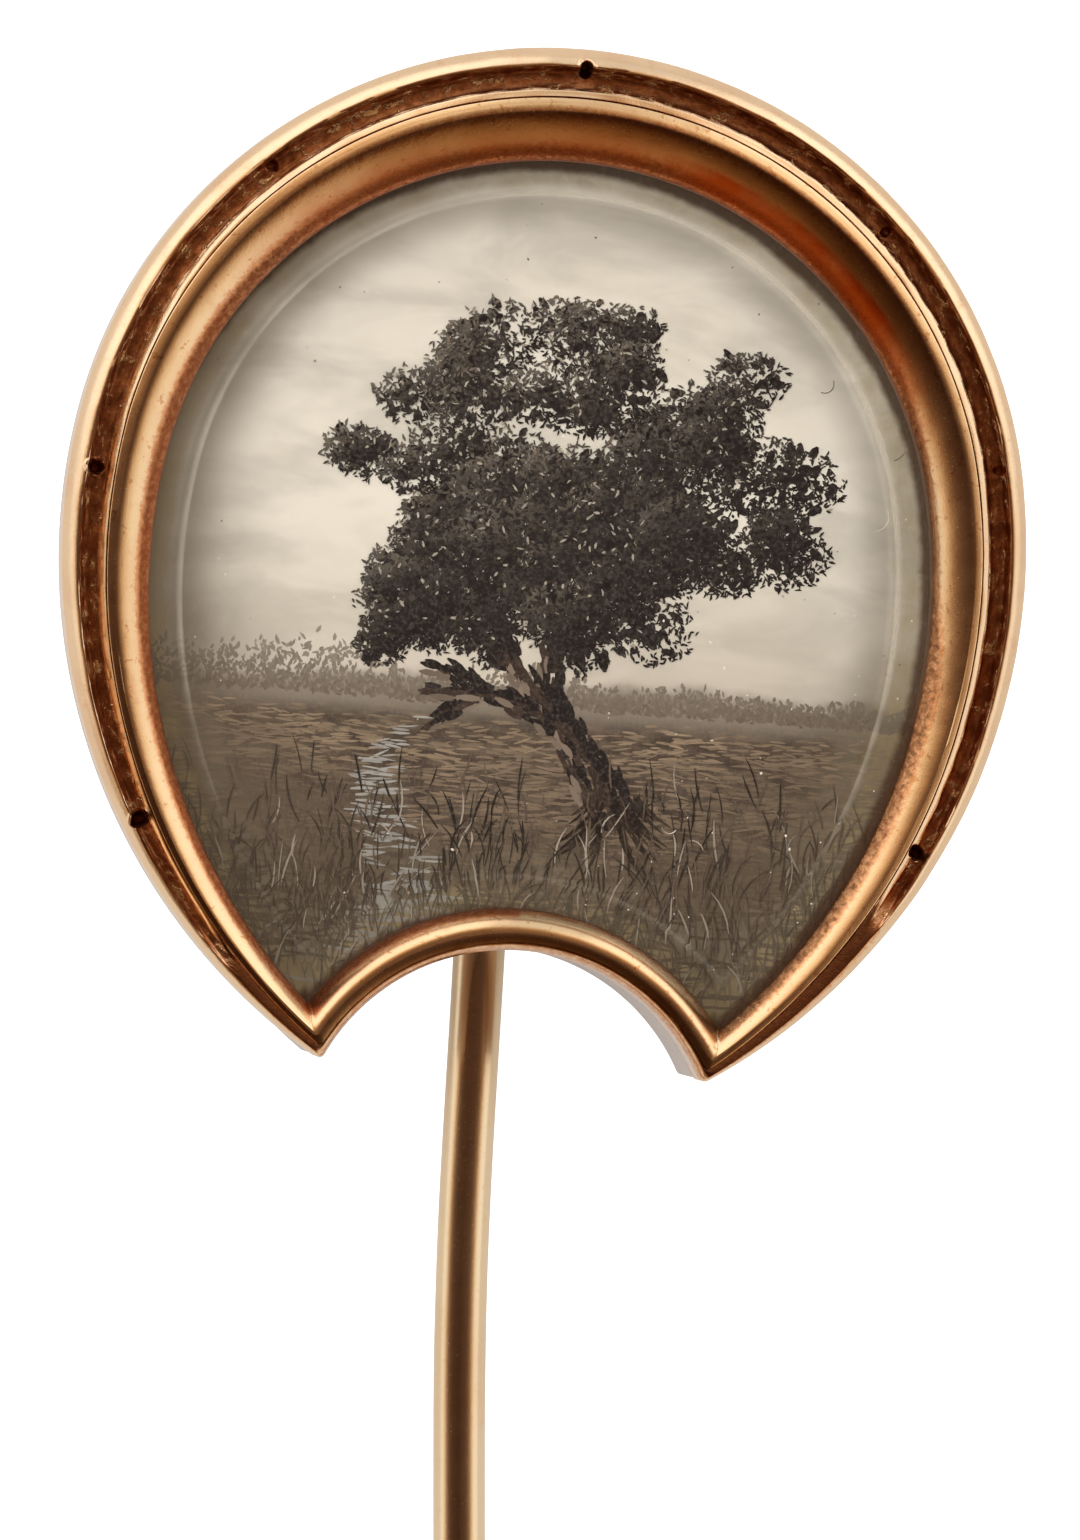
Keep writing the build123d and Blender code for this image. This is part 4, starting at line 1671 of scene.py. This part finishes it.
def painted_border_group():
    """Masks of the painting's darker border, of the room left inside the sight, and of the painted
    shadow of the bezel with soiling along it, from the place on the head in millimetres.
    """
    name = "painted_border"
    if name in bpy.data.node_groups:
        return bpy.data.node_groups[name]
    group, tree, (start, end) = new_group(name, (
        ("INPUT", "Place", "NodeSocketVector", None),
        ("OUTPUT", "Border", "NodeSocketFloat", None),
        ("OUTPUT", "Edge", "NodeSocketFloat", None),
        ("OUTPUT", "Shadow_and_dirt", "NodeSocketFloat", None)))
    parts = tree.add("SeparateXYZ", {0: start.outputs["Place"]})
    x, y = parts.outputs["X"], parts.outputs["Y"]
    flat = tree.add("CombineXYZ", {0: tree.minus(x, 0.5),
                                   1: tree.times(tree.minus(y, 0.6), 0.92)})
    wander = tree.noise(start.outputs["Place"], 0.5, 3.0)
    reach = tree.add("VectorMath", {0: flat.outputs[0]}, operation="LENGTH").outputs["Value"]
    reach = tree.plus(reach, tree.times(wander, 1.6))
    around = tree.ramp(reach, 6.3, 8.9)
    heel = tree.add("CombineXYZ", {0: x, 1: tree.minus(y, HEEL_CENTRE / MM)})
    away = tree.add("VectorMath", {0: heel.outputs[0]}, operation="LENGTH").outputs["Value"]
    below = tree.rest(tree.ramp(away, 4.9, 6.4))
    toe = tree.add("CombineXYZ", {0: x, 1: tree.minus(y, SIGHT_TOE.y / MM)})
    toe_room = tree.minus(SIGHT.toe_radius / MM, tree.add(
        "VectorMath", {0: toe.outputs[0]}, operation="LENGTH").outputs["Value"])
    branch = tree.add("CombineXYZ", {
        0: tree.minus(tree.math("ABSOLUTE", x), SIGHT_BRANCH.x / MM),
        1: tree.minus(y, SIGHT_BRANCH.y / MM)})
    branch_room = tree.minus(SIGHT.branch_radius / MM, tree.add(
        "VectorMath", {0: branch.outputs[0]}, operation="LENGTH").outputs["Value"])
    upper = tree.math("GREATER_THAN", y, 0.0)
    side_room = tree.add("Mix", {0: upper, 2: branch_room, 3: toe_room}, data_type="FLOAT")
    room = tree.math("MINIMUM", side_room.outputs[0],
                     tree.minus(away, SIGHT.heel_radius / MM))
    group.links.new(room, end.inputs["Edge"])
    # Painted shadow of the bezel: a dark band along the edge of the sight, wider towards the toe,
    # with soiling along it.
    uneven = tree.times(tree.noise(start.outputs["Place"], 2.2, 4.0, 0.65), 0.16)
    wide = tree.plus(0.05, tree.times(tree.ramp(y, 1.0, 6.5), 0.12))
    bezel_shadow_and_dirt = tree.minus(room, tree.plus(wide, uneven))
    bezel_shadow_and_dirt = tree.rest(tree.ramp(bezel_shadow_and_dirt, -0.08, 0.10))
    group.links.new(tree.times(bezel_shadow_and_dirt, 0.90), end.inputs["Shadow_and_dirt"])
    group.links.new(tree.math("MAXIMUM", around, tree.times(below, 0.6)),
                    end.inputs["Border"])
    return group


def painted_ground():
    """The painting's sky, mist and meadow, on satin enamel, with painted shade under the crystal's
    bevel and the painted shadow of the bezel.
    """
    finish = bpy.context.scene.pin_finish
    material, tree, shader, _out = new_material("painted_ground")
    place = head_place(tree)
    parts = tree.add("SeparateXYZ", {0: place})
    y = parts.outputs["Y"]
    wide = tree.add("VectorMath", {0: place, 1: (0.55, 1.5, 1.0)}, operation="MULTIPLY")
    cloud = tree.noise(wide.outputs[0], 0.55, 5.0, 0.55, 0.6)
    wisp = tree.noise(wide.outputs[0], 3.5, 4.0, 0.65, 0.4)
    sky = tree.mix(tree.ramp(cloud, 0.38, 0.66), tuple(finish.sky_cream), (0.66, 0.63, 0.57))
    sky = tree.mix(tree.times(tree.ramp(wisp, 0.45, 0.7), 0.25), sky,
                   (0.84, 0.78, 0.67))
    hill = tree.times(tree.noise(place, 0.42, 4.0, 0.6), 1.25)
    hedge = tree.minus(tree.plus(y, 3.2), hill)
    low = tree.rest(tree.ramp(y, -3.2, 0.8))
    sky = tree.mix(tree.times(low, 0.55), sky, (0.42, 0.36, 0.29))
    far = tree.rest(tree.ramp(hedge, -0.30, 0.10))
    sky = tree.mix(tree.times(far, 0.85), sky, (0.19, 0.155, 0.12))
    dab = tree.add("VectorMath", {0: place, 1: (1.0, 3.2, 1.0)}, operation="MULTIPLY")
    turf = tree.noise(dab.outputs[0], 1.8, 6.0, 0.7, 0.3)
    meadow = tree.mix(tree.ramp(turf, 0.35, 0.7), tuple(finish.ground_brown), (0.15, 0.112, 0.080))
    ground = tree.rest(tree.ramp(y, -3.5, -3.0))
    picture = tree.mix(ground, sky, meadow)
    border = tree.add("Group", node_tree=painted_border_group())
    tree.link(place, border.inputs["Place"])
    picture = tree.mix(tree.times(border.outputs["Border"], 0.80), picture,
                       tuple(finish.olive_brown))
    # Painted shade under the crystal's bevel: a mottled olive-brown band along the edge of the sight.
    rim_shade = tree.rest(tree.ramp(border.outputs["Edge"], 0.42, 0.74))
    rim_mottle = tree.ramp(tree.noise(place, 1.3, 5.0, 0.65, 0.4), 0.35, 0.68)
    mottled_rim_shade = tree.times(rim_shade, tree.plus(0.44, tree.times(rim_mottle, 0.26)))
    picture = tree.mix(mottled_rim_shade, picture, RIM_SHADE_BROWN)
    inner = tree.times(tree.ramp(border.outputs["Edge"], 0.58, 0.72),
                      tree.rest(tree.ramp(border.outputs["Edge"], 0.72, 1.5)))
    picture = tree.mix(tree.times(inner, 0.42), picture, BORDER_SHADE)
    # Painted shadow of the bezel on the painting, with soiling along the glass's edge.
    picture = tree.mix(border.outputs["Shadow_and_dirt"], picture, BEZEL_SHADOW_AND_DIRT)
    hatch = tree.add("TexNoise", {"Vector": tree.add("VectorMath", {
        0: place, 1: (9.0, 4.0, 9.0)}, operation="MULTIPLY").outputs[0], "Scale": 2.0, "Detail": 2.0})
    hatched = tree.times(tree.minus(hatch.outputs[0], 0.5), 0.16, clamp=True)
    picture = tree.mix(hatched, picture, (0.86, 0.82, 0.74))
    tree.link(picture, shader.inputs["Base Color"])
    shader.inputs["Roughness"].default_value = 0.45
    relief = tree.add("Bump", {"Strength": 0.2, "Distance": 0.004 * MM,
                               "Height": hatch.outputs[0]})
    tree.link(relief.outputs[0], shader.inputs["Normal"])
    return material


def brush_paint():
    """Paint of the single strokes, toned down towards the border, with the same painted shade under
    the bevel and painted shadow of the bezel.
    """
    if "brush_paint" in bpy.data.materials:
        return bpy.data.materials["brush_paint"]
    finish = bpy.context.scene.pin_finish
    material, tree, shader, _out = new_material("brush_paint")
    place = head_place(tree)
    paint = tree.add("Attribute", attribute_name="paint").outputs["Color"]
    grain = tree.noise(place, 14.0, 3.0, 0.6)
    paint = tree.mix(tree.times(tree.ramp(grain, 0.45, 0.7), 0.16), paint,
                     (0.30, 0.26, 0.22))
    border = tree.add("Group", node_tree=painted_border_group())
    tree.link(place, border.inputs["Place"])
    paint = tree.mix(tree.times(border.outputs["Border"], 0.45), paint,
                     tuple(finish.olive_brown))
    # Painted shade under the crystal's bevel, then the painted shadow of the bezel with soiling along
    # it.
    rim_shade = tree.rest(tree.ramp(border.outputs["Edge"], 0.42, 0.74))
    paint = tree.mix(tree.times(rim_shade, 0.30), paint, (0.17, 0.15, 0.10))
    paint = tree.mix(border.outputs["Shadow_and_dirt"], paint, BEZEL_SHADOW_AND_DIRT)
    tree.link(paint, shader.inputs["Base Color"])
    rough = tree.plus(0.40, tree.times(grain, 0.2))
    tree.link(rough, shader.inputs["Roughness"])
    relief = tree.add("Bump", {"Strength": 0.2, "Distance": 0.003 * MM, "Height": grain})
    tree.link(relief.outputs[0], shader.inputs["Normal"])
    return material


def dust():
    """Grey and brown lint."""
    material, tree, shader, _out = new_material("dust")
    place = head_place(tree)
    tone = tree.noise(place, 1.4, 1.0)
    tone = tree.minus(tone, tree.times(tree.ramp(
        tree.add("SeparateXYZ", {0: place}).outputs["Y"], 1.0, 4.0), 0.08))
    tint = tree.mix(tree.ramp(tone, 0.42, 0.58), (0.10, 0.075, 0.055), (0.72, 0.66, 0.58))
    tree.link(tint, shader.inputs["Base Color"])
    shader.inputs["Roughness"].default_value = 0.8
    relief = tree.add("Bump", {"Strength": 0.3, "Distance": 0.002 * MM,
                               "Height": tree.noise(place, 60.0, 2.0)})
    tree.link(relief.outputs[0], shader.inputs["Normal"])
    return material


# Studio

# Share of the way from the level ring of light to straight above, and the tone there
RING_TONES = (
    (0.38, (0.98, 0.93, 0.87, 1)), (0.50, (0.80, 0.65, 0.50, 1)), (0.61, (0.43, 0.275, 0.165, 1)),
    (0.73, (0.18, 0.102, 0.060, 1)), (0.85, (0.095, 0.052, 0.034, 1)),
)


class PIN_OT_studio(bpy.types.Operator):
    """Set the pale floor, the ring of soft light and the camera above the pin"""
    bl_idname = "pin.studio"
    bl_label = "Studio"

    def execute(self, context):
        studio = context.scene.pin_studio
        bpy.ops.object.select_all(action="DESELECT")
        bpy.ops.mesh.primitive_plane_add(size=1.6, location=(0, 0, 0))
        floor = context.object
        floor.name = "studio_floor"
        material, tree, shader, _out = new_material("pale_floor")
        shader.inputs["Base Color"].default_value = (0.36, 0.36, 0.36, 1)
        shader.inputs["Roughness"].default_value = 0.9
        shader.inputs["Specular IOR Level"].default_value = 0.0
        shader.inputs["Emission Color"].default_value = (1, 1, 1, 1)
        path = tree.add("LightPath")
        glow = tree.plus(0.36, tree.times(path.outputs["Is Camera Ray"], 0.85))
        glow = tree.minus(glow, tree.times(path.outputs["Is Glossy Ray"], 0.05))
        tree.link(glow, shader.inputs["Emission Strength"])
        floor.data.materials.append(material)

        world = bpy.data.worlds.new("soft_ring")
        context.scene.world = world
        world.use_nodes = True
        world.node_tree.nodes.clear()
        tree = Tree(world.node_tree)
        parts = tree.add("SeparateXYZ", {0: tree.add("TexCoord").outputs["Generated"]})
        x, y, z = (parts.outputs[k] for k in range(3))
        level_way = tree.add("VectorMath", {0: tree.add("CombineXYZ", {0: x, 1: y}).outputs[0]},
                             operation="NORMALIZE")
        way = tree.add("SeparateXYZ", {0: level_way.outputs[0]})
        east, north = way.outputs["X"], way.outputs["Y"]
        ahead = tree.ramp(north, 0.0, 0.6)
        left = tree.times(tree.rest(tree.ramp(east, -0.9, -0.1)),
                         tree.rest(ahead))
        near = tree.ramp(tree.plus(tree.times(north, -0.978),
                                   tree.times(east, -0.208)), 0.30, 0.85)
        bearing = tree.math("ARCTAN2", x, y)
        gap = tree.times(tree.ramp(bearing, 0.02, 0.16),
                        tree.rest(tree.ramp(bearing, 0.42, 0.60)))
        level = tree.plus(0.98, tree.times(ahead, 0.40))
        level = tree.minus(level, tree.times(gap, 0.62))
        level = tree.minus(level, tree.times(near, 0.60))
        low = tree.times(near, tree.rest(tree.ramp(z, -0.05, 0.28)))
        level = tree.times(level, tree.rest(low))
        level = tree.times(level, studio.ring_light)
        edge = tree.minus(z, tree.times(ahead, 0.19))
        edge = tree.plus(edge, tree.times(left, 0.11))
        tint = tree.add("ValToRGB", {0: edge})
        stops = tint.color_ramp.elements
        stops[0].position = 0.26
        stops[0].color = (1.0, 1.0, 1.0, 1)
        stops[1].position = 1.0
        stops[1].color = (*studio.zenith_colour, 1)
        for position, tone in RING_TONES:
            stop = stops.new(position)
            stop.color = tone
        warmed = tree.mix(near, tint.outputs[0], (1.0, 0.64, 0.34), "MULTIPLY")
        back = tree.add("Background", {"Color": warmed, "Strength": level})
        out = tree.add("OutputWorld")
        tree.link(back.outputs[0], out.inputs["Surface"])

        lamp = bpy.data.lights.new("overhead_softbox", "AREA")
        lamp.shape = "DISK"
        lamp.size = 0.22
        lamp.energy = 0.55
        lamp_object = bpy.data.objects.new("overhead_softbox", lamp)
        lamp_object.location = (-0.06, 0.06, 0.22)
        aim = Vector((0, 0.028, 0)) - lamp_object.location
        lamp_object.rotation_euler = aim.to_track_quat("-Z", "Y").to_euler()
        lamp_object.visible_glossy = False
        lamp_object.visible_transmission = False
        context.scene.collection.objects.link(lamp_object)

        camera = bpy.data.cameras.new("camera")
        camera.sensor_width = 36.0
        camera.lens = camera.sensor_width * studio.distance / studio.view_height
        camera.clip_start = 0.01
        camera.clip_end = 5.0
        eye = bpy.data.objects.new("camera", camera)
        eye.location = Vector(studio.view_centre) + Vector((0, 0, studio.distance))
        context.scene.collection.objects.link(eye)
        context.scene.camera = eye
        context.scene.view_settings.view_transform = "Standard"
        context.scene.view_settings.look = "None"
        return {"FINISHED"}


# Add-on

OPERATORS = (
    PIN_OT_horseshoe_case, PIN_OT_bezel_collar, PIN_OT_bevelled_crystal, PIN_OT_bevel_edge,
    PIN_OT_painted_miniature, PIN_OT_brushwork, PIN_OT_pin_stem, PIN_OT_solder_bed,
    PIN_OT_dust_and_fibres, PIN_OT_studio,
)


class PIN_PT_panel(bpy.types.Panel):
    """Lists the pin's sizes, finishes and pieces in the sidebar"""
    bl_idname = "PIN_PT_panel"
    bl_label = "Stick pin"
    bl_space_type = "VIEW_3D"
    bl_region_type = "UI"
    bl_category = "Stick Pin"

    def draw(self, context):
        for group in (context.scene.pin_head, context.scene.pin_stem, context.scene.pin_finish,
                      context.scene.pin_studio):
            box = self.layout.box()
            for name in group.__annotations__:
                box.prop(group, name)
        for operator in OPERATORS:
            self.layout.operator(operator.bl_idname)


GROUPS = (("pin_head", PinHeadSizes), ("pin_stem", PinStemSizes), ("pin_finish", PinFinishes),
          ("pin_studio", PinStudio))


def register():
    """Registers the settings, the operators and the panel."""
    for name, group in GROUPS:
        bpy.utils.register_class(group)
        setattr(bpy.types.Scene, name, bpy.props.PointerProperty(type=group))
    for cls in (*OPERATORS, PIN_PT_panel):
        bpy.utils.register_class(cls)


def unregister():
    """Takes everything out again."""
    for cls in (PIN_PT_panel, *reversed(OPERATORS)):
        bpy.utils.unregister_class(cls)
    for name, group in reversed(GROUPS):
        delattr(bpy.types.Scene, name)
        bpy.utils.unregister_class(group)


def main():
    """Models the pin piece by piece."""
    register()
    bpy.ops.pin.horseshoe_case()
    bpy.ops.pin.bezel_collar()
    bpy.ops.pin.bevelled_crystal()
    bpy.ops.pin.bevel_edge()
    bpy.ops.pin.painted_miniature()
    bpy.ops.pin.brushwork()
    bpy.ops.pin.pin_stem()
    bpy.ops.pin.solder_bed()
    bpy.ops.pin.dust_and_fibres()
    bpy.ops.pin.studio()


if __name__ == "__main__":
    main()
